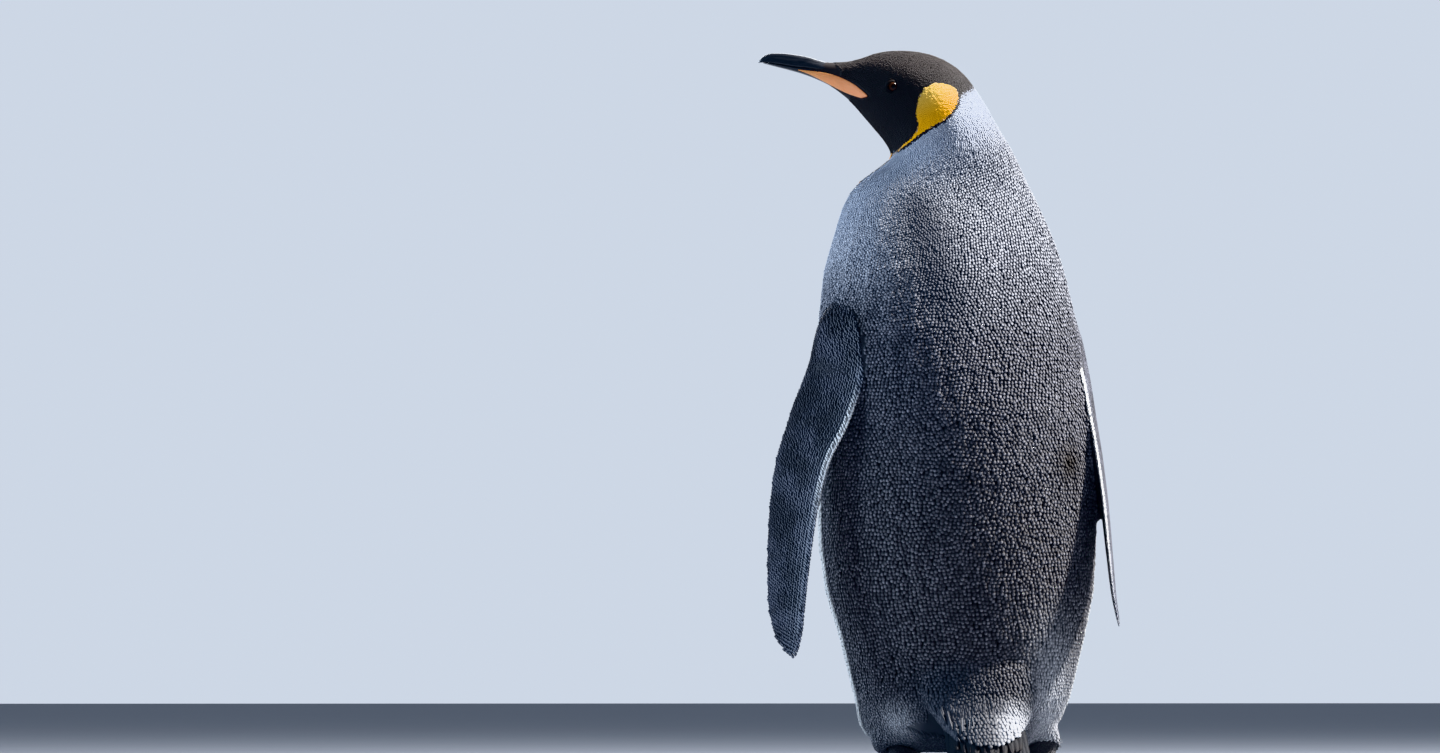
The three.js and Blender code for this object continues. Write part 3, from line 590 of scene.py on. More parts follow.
def feather_rows():
    body_tree = tree_of("torso", "neck", "head")
    angles = np.linspace(0, 2 * math.pi, 240, endpoint=False)
    found, down, row = [], 2.0, 0
    while ROWS_UP(down) > ROWS_END:
        left, up, tilt = ROWS_LEFT(down), ROWS_UP(down), math.radians(ROWS_TILT(down))
        tilted = ALONG * math.cos(tilt) - UP * math.sin(tilt)
        ways = tilted * np.sin(angles)[:, None] - BACK * np.cos(angles)[:, None]
        waves = 1.6 * np.sin(5 * angles + down / 31) + 1.1 * np.sin(11 * angles - down / 19)
        starts = place(left, 0, up) + ways * 0.5 + UP * (waves * MM * ramp(down, 30, 120))[:, None]
        hits = [body_tree.ray_cast(start, -way)[0] for start, way in zip(starts, ways)]
        # A ray can slip between two faces.
        ring = np.array([hit or hits[i - 1] for i, hit in enumerate(hits)])
        ring = np.append(ring, ring[:1], axis=0)
        steps = np.linalg.norm(np.diff(ring, axis=0), axis=1) / spacing_at((ring[1:] + ring[:-1]) / 2)
        gone = np.concatenate([[0], np.cumsum(steps)])
        count = round(gone[-1])
        at = (np.arange(count) + 0.5 * (row % 2) + 0.9 * math.sin(down / 23)) % count * gone[-1] / count
        found.append(np.stack([np.interp(at, gone, ring[:, k]) for k in range(3)], axis=1))
        down += ROW_STEP * NECK_SPACING(behind_hood(left, up)) * LOW_SPACING(up)
        row += 1
    return np.concatenate(found)


left, back, up = in_profile(middles)
pitch = spacing_at(middles)
ring = np.floor((900 - up) * MM / (pitch * ROW_STEP)).astype(int)
order = np.lexsort((np.arctan2(back, left - WAIST_MIDDLE(up)), ring))
order = order[((behind_hood(left, up) > -1) | (up < ROWS_END + 1))[order]]
count = np.cumsum(areas[order] / (ROW_STEP * pitch[order] ** 2))
chosen = order[np.searchsorted(count, np.arange(0.5, count[-1], 1.0))]
scattered = middles[chosen] + rng.normal(0, 0.6 * MM, (len(chosen), 3))
scattered = settle(scattered, pitch[chosen], 5)
in_rows = feather_rows()
in_rows += rng.normal(0, 0.17, in_rows.shape) * spacing_at(in_rows)[:, None]
roots = np.concatenate([scattered, in_rows])
roots = settle(roots, spacing_at(roots), 1)

# No feather stands on a flipper below the shoulder, on the bill or round the bare lids.
bare = (nearness(flipper_tree, roots, 0.02) <= 3.0 * MM) & (in_profile(roots)[2] <= 556)
bare |= nearness(bill_tree, roots, 0.02) <= 1.9 * MM
for side in ("left", "right"):
    low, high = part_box(f"eye_{side}")
    bare |= np.linalg.norm(roots - np.array((low + high) / 2), axis=1) <= 9.6 * MM
roots = roots[~bare]
faces = np.array([skin_tree.find_nearest(p)[2] for p in roots])
corners = kept_by(skin_mesh.polygons, "vertices", 4, int)[faces]
unwrap = kept_by(skin_mesh.uv_layers["OFBake"].data, "uv", 2).reshape(-1, 4, 2)
far = np.linalg.norm(points_of(skin_mesh)[corners] - roots[:, None], axis=2)
weight = 1 / (far + 0.2 * MM) ** 2
weight = (weight / weight.sum(axis=1, keepdims=True))[..., None]
normals = unit((normals_of(skin_mesh)[corners] * weight).sum(axis=1))
root_uvs = (unwrap[faces] * weight).sum(axis=1)

# The coat lies away from the bill on the head, down the neck and back, and towards the tail below.
left, back, up = in_profile(roots)
from_bill = unit(roots - BILL_END)
downward = unit(np.stack([0 * up, 0.45 * ramp(up, 170, 70), -1 + 0 * up], axis=1))
headed = ramp(up, 735, 800)[:, None]
lie = from_bill * headed + downward * (1 - headed)
facing = (unit(lie) * normals).sum(axis=1)  # near 1 on the end of the stern, where no feather can lie flat
lying = (facing < 0.74) | (back < 76) | (up > 130)
roots, normals, root_uvs, lie, facing = (v[lying] for v in (roots, normals, root_uvs, lie, facing))
left, back, up = in_profile(roots)


def vane_pattern(stations):
    """One feather lying along Y from 0 to 1, half a unit wide: points, triangles and a flat map."""
    points, flat = [], []
    for down, half, crown in stations:
        points += [(-half, down, 0.0), (0.0, down, crown), (half, down, 0.0)]
        flat += [(0.5 - half / 2, down), (0.5, down), (0.5 + half / 2, down)]
    points.append((0.0, 1.0, 0.0))
    flat.append((0.5, 1.0))
    faces = [(0, 2, 1)]
    for i in range(len(stations) - 1):
        a, b = 3 * i, 3 * i + 3
        faces += [(a, a + 1, b + 1), (a, b + 1, b), (a + 1, a + 2, b + 2), (a + 1, b + 2, b + 1)]
        faces += [(a + 2, a, b), (a + 2, b, b + 2)]
    last, tip = 3 * (len(stations) - 1), len(points) - 1
    faces += [(last, last + 1, tip), (last + 1, last + 2, tip), (last + 2, last, tip)]
    return np.array(points), np.array(faces)[:, ::-1], np.array(flat)


BROAD_VANE = vane_pattern([(0.0, 0.5, 0.3), (0.5, 0.9, 0.8), (0.8, 1.0, 1.0), (0.94, 0.66, 0.7)])
FINE_VANE = vane_pattern([(0.0, 0.6, 0.4), (0.68, 1.0, 1.0), (0.92, 0.62, 0.7)])
PATCH = 0.003  # across, of each feather on the unwrap


def vanes(name, pattern, roots, normals, lie, long, wide, rise, uvs, features, curl=0.25, crown=0.14):
    """A mesh of feathers that lie on the skin from their roots, rise to rise and dip at their tips."""
    shape, triangles, flat = pattern
    count = len(roots)
    normals = unit(normals)
    ahead = unit(lie - (lie * normals).sum(axis=1, keepdims=True) * normals)
    skewed = rng.normal(0, 0.06, count)[:, None]
    side = np.cross(ahead, normals)
    ahead, side = unit(ahead + side * skewed), unit(side - ahead * skewed)
    rolled = rng.normal(0, 0.05, count)[:, None]
    normals = unit(normals + side * rolled)
    long, wide, rise = (np.broadcast_to(v, count)[:, None] for v in (long, wide, rise))
    across, down, crest = shape.T
    height = rise * (down ** 1.1 - curl * down ** 5) - 0.35 * MM + crown * wide * crest
    spread = (
        roots[:, None]
        + ahead[:, None] * (long * (down - 0.6))[..., None]
        + side[:, None] * (wide / 2 * across)[..., None]
        + normals[:, None] * height[..., None]
    ).reshape(-1, 3)
    index = (triangles[None] + (np.arange(count) * len(shape))[:, None, None]).reshape(-1)
    mesh = bpy.data.meshes.new(name)
    mesh.vertices.add(len(spread))
    mesh.vertices.foreach_set("co", spread.ravel())
    mesh.loops.add(len(index))
    mesh.loops.foreach_set("vertex_index", index)
    mesh.polygons.add(len(index) // 3)
    mesh.polygons.foreach_set("loop_start", np.arange(0, len(index), 3))
    mesh.update(calc_edges=True)
    corner = flat[triangles.reshape(-1)]
    vane_map = mesh.uv_layers.new(name="vane")
    vane_map.data.foreach_set("uv", np.tile(corner, (count, 1)).ravel())
    bake_map = mesh.uv_layers.new(name="OFBake")
    patch = (corner[None] - 0.5) * PATCH + uvs[:, None]
    bake_map.data.foreach_set("uv", patch.ravel())
    keep_features(mesh, {**features, "draw": rng.random(count)}, len(shape))
    return mesh


marks = markings(roots)
pitch = spacing_at(roots)
ruffled = ramp(up, 150, 75)
over_tail = ramp(up, 130, 84) * ramp(back, 76, 100) * ramp(abs(left - TAIL_SHIFT), 58, 36)
over_tail *= ramp(abs(facing), 0.62, 0.42)
drawn = rng.normal(1, 0.045, len(roots))
long = (pitch * (2.35 + 0.6 * ruffled) + 25 * MM * over_tail ** 1.5) * drawn
wide = pitch * 1.16 + 1.8 * MM * over_tail
rise = pitch * (0.46 + 0.18 * ramp(up, 700, 560)) * rng.normal(1, 0.12, len(roots))
fine = up > 735
hooded = marks["hood"] + marks["gold"] > 0.5
white = marks["white"] > 0.5

COAT_PARTS = {  # piece: which feathers, pattern, slot
    "coat_head": (hooded & fine, FINE_VANE, "plumage_head"),
    "coat_neck": (~hooded & fine, FINE_VANE, "plumage_back"),
    "coat_breast": (white & ~fine & (up > 430), BROAD_VANE, "plumage_belly"),
    "coat_belly": (white & (up <= 430), BROAD_VANE, "plumage_belly"),
    "coat_shoulders": (~white & ~fine & (up > 480), BROAD_VANE, "plumage_back"),
    "coat_back": (~white & (up <= 480) & (up > 240), BROAD_VANE, "plumage_back"),
    "coat_rump": (~white & (up <= 240), BROAD_VANE, "plumage_back"),
}
for name, (part, pattern, slot) in COAT_PARTS.items():
    features = {key: values[part] for key, values in marks.items()}
    coat = vanes(name, pattern, roots[part], normals[part], lie[part], long[part], wide[part], rise[part],
                 root_uvs[part], features)
    add_piece(name, coat, plumage, slot)

# ---- flipper coat ------------------------------------
# Each flipper is covered in scale-like feathers, in rows along its rear edge on both faces, with a fringe
# of stiffer ones on that edge. The outer face is dark slate; the inner one is white with a dark margin.
FLIPPERS = {  # lead: how far the front edge is turned out; path: down the middle of the flipper
    "left": {
        "side": 1, "lead": 57,
        "path": [[82, 44, 600], [112, 66, 572], [133, 78, 541], [141, 80, 491], [161, 82, 435],
                 [178.5, 84, 391], [189, 86, 340], [195.5, 89, 278], [198, 92, 222], [196, 94, 190],
                 [191.5, 95, 163]],
    },
    "right": {
        "side": -1, "lead": -4,
        "path": [[-70, -26, 610], [-103, -36, 574], [-128, -42, 543], [-142.5, -28, 493], [-153, -10, 435],
                 [-160, 4, 391], [-166, 21, 340], [-171, 43, 278], [-174.5, 62, 235], [-179.5, 84, 198.5]],
    },
}
CHORD = track([0, 44], [0.09, 52], [0.17, 62], [0.27, 75], [0.4, 80.5], [0.5, 72], [0.62, 65], [0.75, 57.5],
              [0.87, 48.5], [0.935, 38], [0.975, 24], [1, 9])
THICKNESS = track([0, 40], [0.09, 36], [0.17, 31], [0.27, 24], [0.4, 18.5], [0.5, 16], [0.62, 14], [0.75, 12],
                  [0.87, 9.5], [0.93, 7.5], [0.975, 5.2], [1, 2.6])
ROW_PITCH = 3.05 * MM  # from row to row, and from scale to scale along a row
SCALE_PITCH = 3.4 * MM
SCALE_LONG, SCALE_WIDE, SCALE_RISE = 7.7 * MM, 3.75 * MM, 1.0 * MM
SCALE_STRAY = 0.16 * SCALE_PITCH
ROW_STRAY = 0.010  # radians round the flipper
SCALE_DEPTH = 0.9  # how far the roots lie below the outline, in millimetres


def flipper_surface(side, lead, path):
    """A function from places down the flipper and angles round it to points."""
    path = np.array(path, float)
    gone = np.concatenate([[0], np.cumsum(np.linalg.norm(np.diff(path, axis=0), axis=1))])
    lines = [track(*zip(gone / gone[-1], path[:, k])) for k in range(3)]
    ahead = ALONG * math.sin(math.radians(lead)) - BACK * math.cos(math.radians(lead))

    def middle(t):
        return place(*(line(t) for line in lines))

    def sample(t, angle, sunk=SCALE_DEPTH):
        down = unit(middle(np.minimum(t + 0.004, 1)) - middle(np.maximum(t - 0.004, 0)))
        leading = unit(ahead - down * (down @ ahead)[:, None])
        outer = np.cross(down, leading) * -side
        forward = np.cos(angle)
        full = (0.42 + 0.58 * ((1 + forward) / 2) ** 0.8) * np.where(np.sin(angle) > 0, 1.1, 0.9)
        half_chord = CHORD(t) / 2 - sunk
        half_thick = np.maximum(THICKNESS(t) / 2 * full - sunk, 0.25)
        return (middle(t) + leading * (half_chord * forward * MM)[:, None]
                + outer * (half_thick * np.sin(angle) * MM)[:, None])

    return sample, gone[-1] * MM


def scale_rows(sample, span, face):
    """Places of the scales on one face, in rows counted from the rear edge."""
    steps = int(span / SCALE_PITCH)
    fine_t = np.linspace(0, 1, 120)
    fine_angle = math.pi - face * np.linspace(0, math.pi, 60)
    grid_t, grid_angle = (g.ravel() for g in np.meshgrid(fine_t, fine_angle, indexing="ij"))
    grid = sample(grid_t, grid_angle, 0.0).reshape(120, 60, 3)
    stretches = np.linalg.norm(np.diff(grid, axis=1, prepend=grid[:, :1]), axis=2)
    gone = np.cumsum(stretches, axis=1)  # how far round from the rear edge each point is
    places = []
    for row in range(int(gone[:, -1].max() / ROW_PITCH)):
        at = (row + 0.35) * ROW_PITCH
        t = (np.arange(steps) + 0.5 * (row % 2) + 0.25) / steps
        angle_here = np.array([np.interp(at, there, fine_angle, right=np.nan) for there in gone])
        angle = np.interp(t, fine_t, angle_here)
        fits = ~np.isnan(angle)
        places.append(np.stack([t[fits], angle[fits], np.full(fits.sum(), row)], axis=1))
    return np.concatenate(places)


def flipper_paint(shade):
    """Dark slate outside with paler rows along the rear edge, white inside with a dark front margin."""
    where = shade.place()
    vane, across, down = on_vane(shade)
    draw = shade.feature("draw")
    stray = shade.noise(where, 30.0, 4.0, 0.6)
    fleck = shade.noise(where, 420.0, 1.0).between(0.40, 0.60)
    tip = down.between(0.60, 0.80) * (1 - across * across * 3.0)
    tip = tip * (0.25 + draw * 0.55) * (0.45 + fleck * 0.55)
    cloud = stray.between(0.38, 0.64)
    shaded = cloud.mix((0.034, 0.033, 0.042), (0.092, 0.094, 0.120))
    slate = tip.mix(shaded, cloud.mix((0.40, 0.43, 0.52), (0.60, 0.64, 0.75)))
    pale = shade.feature("pale").mix(slate, (0.42, 0.46, 0.54))
    white = (tip * 0.5 + draw * 0.5).mix((0.70, 0.71, 0.71), (0.86, 0.86, 0.85))
    # On the right flipper's rear edge this white is partly painted sunlight.
    coat = shade.feature("white").mix(pale, white)
    return {"Base Color": coat, "Normal": shade.bump(barbs_on(shade, vane, 4.0, 1.0), 0.0001, 0.5)}


def clear_of(tree, point, gap):
    """Whether a point lies outside a closed surface by more than a gap."""
    hit, normal, _, _ = tree.find_nearest(point)
    return (Vector(point) - hit).dot(normal) > gap


scale_finish = material("flipper_scales", flipper_paint, roughness=0.5, specular_ior_level=0.45)
for name, shape in FLIPPERS.items():
    sample, span = flipper_surface(**shape)
    parts = []
    for face in (1, -1):
        t, angle, row = scale_rows(sample, span, face).T
        t = np.clip(t + rng.normal(0, SCALE_STRAY, len(t)) / span, 0, 1)
        _, _, up = in_profile(sample(t, angle))
        angle += rng.normal(0, ROW_STRAY, len(t)) * (1 + 2.2 * ramp(up, 470, 560)) * (row > 1)
        here = sample(t, angle)
        down = unit(sample(np.minimum(t + 0.01, 1), angle) - sample(np.maximum(t - 0.01, 0), angle))
        rearward = unit(sample(t, angle + face * 0.02) - sample(t, angle - face * 0.02))
        out = unit(np.cross(down, rearward) * -face * shape["side"])
        rim = 1.0 * (row < 1)
        outside = face > 0
        # Pale rim feathers on both flippers; the white running up the right one is painted sunlight.
        fringe = ramp(up, 300, 385) * ramp(up, 475, 430) if name == "left" else ramp(up, 210, 330)
        inner_white = ramp(np.cos(angle), 0.78, 0.62) * ramp(t, 0.985, 0.9) * ramp(row, 5, 8)
        white = rim * fringe if outside else np.maximum(inner_white, rim * fringe)
        lines = np.clip(1 - row / 8, 0, 1) * (0.08 + 0.22 * (row % 2 < 1)) * ramp(up, 520, 480)
        pale = np.maximum(lines, 0.16 * ramp(up, 545, 590)) if outside else 0 * t
        lie = down + rearward * (0.42 + 0.5 * rim)[:, None]
        parts.append((here, out, lie, white, pale, rim, t, 0.25 + 0.5 * (face < 0) + 0.2 * np.sin(angle / 2)))
    columns = [np.concatenate(column) for column in zip(*parts)]
    free = np.array([clear_of(torso_tree, point, 0.5 * MM) for point in columns[0]])
    here, out, lie, white, pale, rim, t, u = (column[free] for column in columns)
    long = SCALE_LONG * (1 + 0.25 * rim) * (1 - 0.45 * ramp(t, 0.93, 1))
    rise = SCALE_RISE * rng.normal(1, 0.16, len(t))
    coat = vanes(f"coat_flipper_{name}", FINE_VANE, here, out, lie, long, SCALE_WIDE, rise,
                 np.stack([u, 0.03 + 0.94 * t], axis=1), {"white": white, "pale": pale}, crown=0.18)
    add_piece(f"coat_flipper_{name}", coat, scale_finish, "plumage_flipper")

# ---- tail --------------------------------------------
# Stiff narrow feathers with strong shafts, in five layers on the stern, propped on the floor. They are
# black, worn to brown at the tips. Small body feathers in rows cover their roots.
TAIL_LEAN = math.radians(32)  # from upright
TAIL_WAY = np.array([0, math.sin(TAIL_LEAN), -math.cos(TAIL_LEAN)])
TAIL_TOP = np.array([0, math.cos(TAIL_LEAN), math.sin(TAIL_LEAN)])
TAIL_ROOT = AXIS + np.array([TAIL_SHIFT, 131.5, 81]) * MM
RIGHTWARD = np.array([1.0, 0, 0])
LAYERS = [  # feathers, where they start along the tail, length, height over its middle, spread
    (12, -24, 116, -2.4, 37.5),
    (11, -27, 121, -1.1, 34.5),
    (10, -30, 119, 0.2, 31.5),
    (9, -34, 104, 1.4, 28.0),
    (11, -42, 82, 2.6, 31.0),
]
LAYER_ARCH = 4.5  # how much lower the sides of a layer lie than its middle
FAN = 4.0  # degrees
VANE_WIDTH = 12.5 * MM
TAIL_VANE = vane_pattern([
    (0.0, 0.35, 0.8), (0.12, 0.75, 1.0), (0.35, 0.95, 1.0), (0.6, 1.0, 0.9), (0.8, 0.92, 0.8),
    (0.92, 0.7, 0.6), (0.975, 0.42, 0.5),
])


def tail_paint(shade):
    vane, across, down = on_vane(shade)
    shaft = (across * across).between(0.004, 0.001)
    barbs = barbs_on(shade, vane, 22.0, 2.0, "DIAGONAL")
    stray = shade.noise(shade.place(), 60.0, 3.0)
    worn = (down + (stray - 0.5) * 0.3).between(0.75, 1.05)
    black = (barbs * 0.5 + stray * 0.5).mix((0.010, 0.011, 0.014), (0.024, 0.026, 0.032))
    black = worn.mix(black, (0.042, 0.038, 0.037))
    return {"Base Color": shaft.mix(black, (0.034, 0.034, 0.038)), "Roughness": 0.5 + stray * 0.2,
            "Normal": shade.bump(barbs, 0.0003, 0.6)}


starts, ways, lengths = [], [], []
for number, start, length, above, spread in LAYERS:
    for across in np.linspace(-1, 1, number):
        turn = math.radians(FAN * across + rng.normal(0, 0.8))
        way = TAIL_WAY * math.cos(turn) + RIGHTWARD * math.sin(turn)
        lift = above - LAYER_ARCH * across * across
        root = TAIL_ROOT + (TAIL_WAY * start + RIGHTWARD * spread * across + TAIL_TOP * lift) * MM
        long_here = length * (1 - 0.15 * across * across) * (1 + rng.normal(0, 0.015)) * MM
        starts.append(root + way * long_here * 0.6)
        ways.append(way)
        lengths.append(long_here)
starts, ways, lengths = np.array(starts), np.array(ways), np.array(lengths)
uvs = np.stack([0.05 + 0.9 * np.linspace(0, 1, len(starts)), 0 * lengths + 0.5], axis=1)
tops = np.tile(TAIL_TOP, (len(starts), 1))
tail = vanes("tail_feathers", TAIL_VANE, starts, tops, ways, lengths, VANE_WIDTH, 1.2 * MM, uvs, {},
             curl=-0.2, crown=0.05)


def keep_above(mesh, height):
    """Flattens what would reach into the floor."""
    points = points_of(mesh)
    points[:, 2] = np.maximum(points[:, 2], height)
    move_points(mesh, points)


keep_above(tail, 0.3 * MM)
tail_finish = material("tail_vanes", tail_paint, specular_ior_level=0.12)
add_piece("tail_feathers", tail, tail_finish, "tail_feathers", "tail")

COVERT_ROWS = 13
COVERT_PITCH = 4.5  # from row to row, in millimetres, as are the next two
COVERT_START = -30
COVERT_SPREAD = 35
COVERT_LONG, COVERT_WIDE, COVERT_RISE = 13.5 * MM, 5.6 * MM, 2.1 * MM
starts, ways, uvs = [], [], []
for row in range(COVERT_ROWS):
    for across in np.linspace(-1, 1, 17 + row % 2):
        if row > COVERT_ROWS - 1 - 4 * across * across:
            continue
        turn = math.radians(6 * across + rng.normal(0, 3))
        across += rng.normal(0, 0.02)
        down = COVERT_START + COVERT_PITCH * row + rng.normal(0, 0.6)
        out = TAIL_TOP * (4.6 - LAYER_ARCH * across * across) + TAIL_WAY * down
        starts.append(TAIL_ROOT + (RIGHTWARD * COVERT_SPREAD * across + out) * MM)
        ways.append(TAIL_WAY * math.cos(turn) + RIGHTWARD * math.sin(turn))
        uvs.append((0.5 + 0.45 * across, 0.05 + 0.9 * row / COVERT_ROWS))
starts, ways, uvs = np.array(starts), np.array(ways), np.array(uvs)
coverts = vanes("tail_coverts", BROAD_VANE, starts, np.tile(TAIL_TOP, (len(starts), 1)), ways, COVERT_LONG,
                COVERT_WIDE, COVERT_RISE * rng.normal(1, 0.12, len(starts)), uvs, markings(starts))
add_piece("tail_coverts", coverts, plumage, "plumage_back")

# ---- bill --------------------------------------------
# Two slim horny halves that meet along the gape: smooth black horn with a round ridge on top, a groove
# along each side from the nostril, and a hooked tip.
CULMEN = track([116, 843], [139, 845.4], [158, 850.2], [172, 854.4], [192, 857.8], [208, 859], [217, 858.2],
               [223, 855.6], [227, 852.2], [229.6, 848.4])
GAPE = track([104, 807], [112, 814.5], [121, 822.3], [135, 830.8], [152, 836.8], [168, 840.2], [188, 842.4],
             [208, 845.8], [225, 848], [229.6, 847.4])
JAW = track([116, 801], [133, 812], [147, 821.3], [162, 828.6], [176, 834], [192, 838.8], [213, 844.2],
            [224, 847.2])
UPPER_WIDTH = track([116, 14], [128, 12.4], [139, 10.8], [158, 8.6], [172, 7.5], [192, 6.2], [210, 4.8],
                    [220, 3.6], [226.5, 2.3], [229.6, 0.8])
LOWER_WIDTH = track([116, 16], [128, 13.2], [140, 11.2], [158, 9], [174, 7.2], [192, 5.4], [232, 3.4])
BILL_ROOT = 116
UPPER_TIP, LOWER_TIP = 229.5, 224
NOSTRIL = (182, 847.2)
BILL_TURNS = np.linspace(0, math.pi, 27)
SMOOTHER = ("SUBSURF", {"levels": 1, "render_levels": 1})


def upper_ring(along):
    flat, crest, half = GAPE(along) + 0.15, CULMEN(along), UPPER_WIDTH(along)
    up = flat + (crest - flat) * np.sin(BILL_TURNS) ** 0.85
    side = half * np.cos(BILL_TURNS)
    groove = 0.5 * bump_at(abs(np.cos(BILL_TURNS)), 0.8, 0.09) * ramp(along, 146, 160) * ramp(along, 222, 205)
    slit = 1.3 * bump_at(up, NOSTRIL[1], 0.9) * bump_at(along, NOSTRIL[0], 5.5)
    side = np.sign(side) * np.maximum(abs(side) - groove - slit * (abs(side) > half * 0.4), 0)
    return place(along, np.append(side, 0), np.append(up, flat))


def lower_ring(along):
    flat, keel = GAPE(along) - 0.15, JAW(along)
    half = np.minimum(LOWER_WIDTH(along), UPPER_WIDTH(along) + 1.5)
    up = flat + (keel - flat) * np.sin(BILL_TURNS) ** 0.85
    return place(along, np.append(half * np.cos(BILL_TURNS), 0), np.append(up, flat))


def horn_paint(shade):
    where = shade.place()
    streak = shade.node("Mapping", {}, {0: where, "Rotation": (0, 0, -PROFILE_TURN), "Scale": (18, 160, 160)})
    grain = shade.noise(streak, 3.0, 4.0)
    worn = shade.noise(where, 90.0, 4.0).between(0.5, 0.75)
    black = grain.mix((0.010, 0.011, 0.014), (0.030, 0.033, 0.040))
    return {"Base Color": (worn * 0.5).mix(black, (0.055, 0.058, 0.066)), "Roughness": 0.24 + grain * 0.22,
            "Normal": shade.bump(grain, 0.0004, 0.35)}


horn = material("bill_horn", horn_paint, coat_weight=0.35, coat_roughness=0.18)
for name, ring_at, tip in (("bill_upper", upper_ring, UPPER_TIP), ("bill_lower", lower_ring, LOWER_TIP)):
    stops = BILL_ROOT + (tip - BILL_ROOT) * np.linspace(0, 1, 46) ** 0.8
    bm = bmesh.new()
    ringed(bm, [ring_at(stop) for stop in stops])
    smooth = baked(as_mesh(bm, name + "_horn"), SMOOTHER)
    add_piece(name + "_horn", smooth, horn, "bill_horn", name)


# ---- bill plates -------------------------------------
# A tapering plate let into each side of the lower half, smooth as wax, salmon at the rear and more
# orange towards the tip.
def plate_paint(shade):
    where = shade.place()
    grain = shade.noise(where, 130.0, 4.0)
    ahead = (where.axis(0) + (grain - 0.5) * 0.01).between(0.085, 0.15)
    colour = ahead.mix((0.86, 0.35, 0.16), (0.92, 0.40, 0.14))
    return {"Base Color": (grain * 0.4).mix(colour, (0.62, 0.20, 0.07)), "Roughness": 0.38 + grain * 0.15,
            "Normal": shade.bump(grain, 0.0003, 0.3)}


def rounded(node, voxel, rounds, *more):
    """A CAD node's shape with its edges worn round, and any more modifiers after that."""
    bm = bmesh.new()
    node_shape(bm, node)
    remesh = ("REMESH", {"mode": "VOXEL", "voxel_size": voxel})
    return baked(as_mesh(bm, node), remesh, ("SMOOTH", {"factor": 0.5, "iterations": rounds}), *more)


wax = material("bill_plate", plate_paint, subsurface_weight=0.12, subsurface_scale=0.004)
for side in ("left", "right"):
    plate = rounded(f"bill_plate_{side}", 0.55 * MM, 6)
    add_piece(f"plate_{side}", plate, wax, "bill_plate", f"bill_plate_{side}")


# ---- eyes --------------------------------------------
# A dark brown eye with a black pupil under a clear bulging front, in a ring of bare grey-black lid that
# meets the velvet of the face.
def eye_paint(shade):
    ring = shade.feature("ring")
    fleck = shade.noise(shade.place(), 900.0, 3.0)
    iris = (fleck * 0.6 + ring.between(2.6, 4.8) * 0.4).mix((0.030, 0.014, 0.009), (0.070, 0.034, 0.020))
    colour = ring.between(2.6, 2.9).mix((0.002, 0.002, 0.002), iris)
    colour = ring.between(4.9, 5.5).mix(colour, (0.01, 0.008, 0.008))
    return {"Base Color": colour, "Roughness": 0.3 - fleck * 0.1}


def lid_paint(shade):
    crease = shade.node("TexVoronoi", {}, {"Vector": shade.place(), "Scale": 1400.0})
    colour = crease.mix((0.006, 0.0055, 0.006), (0.022, 0.019, 0.018))
    return {"Base Color": colour, "Roughness": 0.6, "Normal": shade.bump(crease, 0.0002, 0.6)}


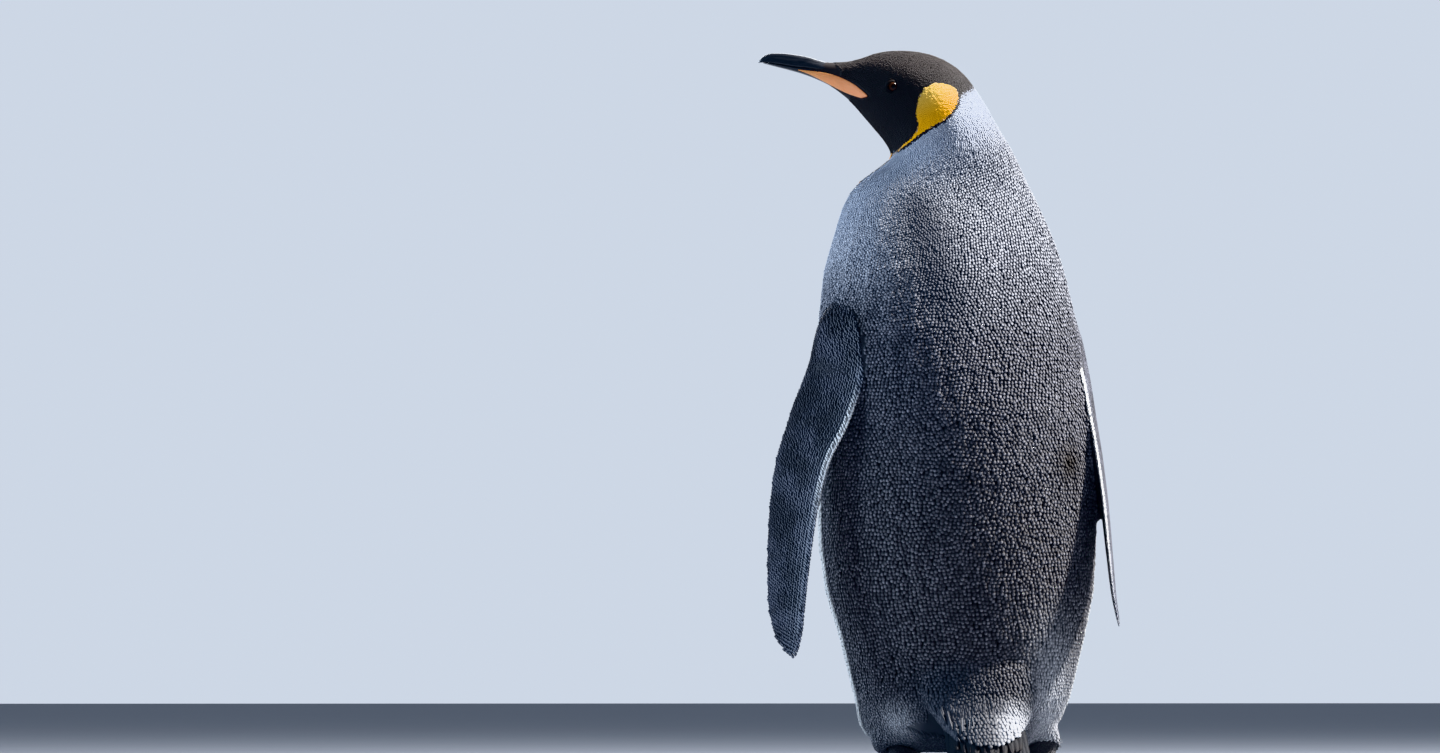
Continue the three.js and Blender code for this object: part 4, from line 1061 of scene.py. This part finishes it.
eye_glass = material("eye", eye_paint, coat_weight=0.18, coat_roughness=0.1, specular_ior_level=0.2)
lid_skin = material("lid_skin", lid_paint, specular_ior_level=0.12)
LID_RINGS = [  # half width, half height, and how far out of the eye's middle
    (5.9, 4.6, 6.05), (6.3, 5.0, 6.75), (7.2, 5.9, 6.95), (8.6, 7.2, 6.1), (10.4, 8.8, 4.4), (8.2, 7.4, 3.4),
    (6.4, 5.6, 4.8),
]
for name, side in (("left", 1), ("right", -1)):
    low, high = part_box(f"eye_{name}")
    middle = np.array((low + high) / 2)
    radius = float((high - low)[2]) / 2
    swing = PROFILE_TURN + math.radians(side * 14)
    out = side * np.array([-math.sin(swing), math.cos(swing), 0])
    sideways = np.cross(UP, out)
    bm = bmesh.new()
    bmesh.ops.create_uvsphere(bm, u_segments=48, v_segments=32, radius=radius)
    ball = as_mesh(bm, f"eyeball_{name}")
    offs = points_of(ball)
    ring = np.linalg.norm(offs - out * (offs @ out)[:, None], axis=1) / MM
    bulge = 0.7 * MM * np.exp(-(ring / 4.6) ** 4) * (offs @ out > 0)
    move_points(ball, middle + offs + out * bulge[:, None])
    keep_features(ball, {"ring": np.where(offs @ out > 0, ring, 9)})
    add_piece(f"eyeball_{name}", ball, eye_glass, "eye", f"eye_{name}")
    turns = np.linspace(0, 2 * math.pi, 40, endpoint=False)
    almond = np.sin(turns) * abs(np.sin(turns)) ** 0.15
    bm = bmesh.new()
    ringed(bm, [
        middle + (sideways * (wide * np.cos(turns))[:, None] + UP * (tall * almond)[:, None] + out * far) * MM
        for wide, tall, far in LID_RINGS
    ], closed=True)
    add_piece(f"lid_{name}", baked(as_mesh(bm, f"lid_{name}"), SMOOTHER), lid_skin, "plumage_head")


# ---- feet --------------------------------------------
# Broad flat feet of three webbed toes and a small hind toe, in tough black skin set with small scales,
# on a short shank that goes up into the feathers.
def foot_paint(shade):
    where = shade.place()
    scales = shade.node("TexVoronoi", {"feature": "DISTANCE_TO_EDGE"}, {"Vector": where, "Scale": 420.0})
    plates = scales.between(0.02, 0.16)
    stray = shade.noise(where, 70.0, 4.0)
    colour = plates.mix((0.012, 0.011, 0.012), stray.mix((0.030, 0.029, 0.032), (0.075, 0.070, 0.070)))
    return {"Base Color": colour, "Roughness": 0.5 + stray * 0.25, "Normal": shade.bump(plates, 0.0005, 0.8)}


scales = bpy.data.textures.new("foot_scales", "VORONOI")
scales.noise_scale = 0.0042
scales.distance_metric = "DISTANCE"
foot_skin = material("foot_skin", foot_paint)
SCALED = ("DISPLACE", {"texture": scales, "texture_coords": "LOCAL", "strength": -0.0011, "mid_level": 0.25})
for name in ("left", "right"):
    foot = rounded(f"foot_{name}", 1.25 * MM, 7, SCALED)
    keep_above(foot, 0.05 * MM)
    add_piece(f"foot_skin_{name}", foot, foot_skin, "foot_skin", f"foot_{name}")

# ---- claws -------------------------------------------
# Strong curved claws of black horn, worn paler at the tip. One grows out of the scaled skin at the end of
# each toe.
claw_horn = material("claw_horn", horn_paint, coat_weight=0.2, coat_roughness=0.3)
for name in ("left", "right"):
    for toe in ("inner", "middle", "outer", "hallux"):
        claw = rounded(f"claw_{name}_{toe}", 0.45 * MM, 5)
        add_piece(f"horn_{name}_{toe}", claw, claw_horn, "claw_horn", f"claw_{name}_{toe}")
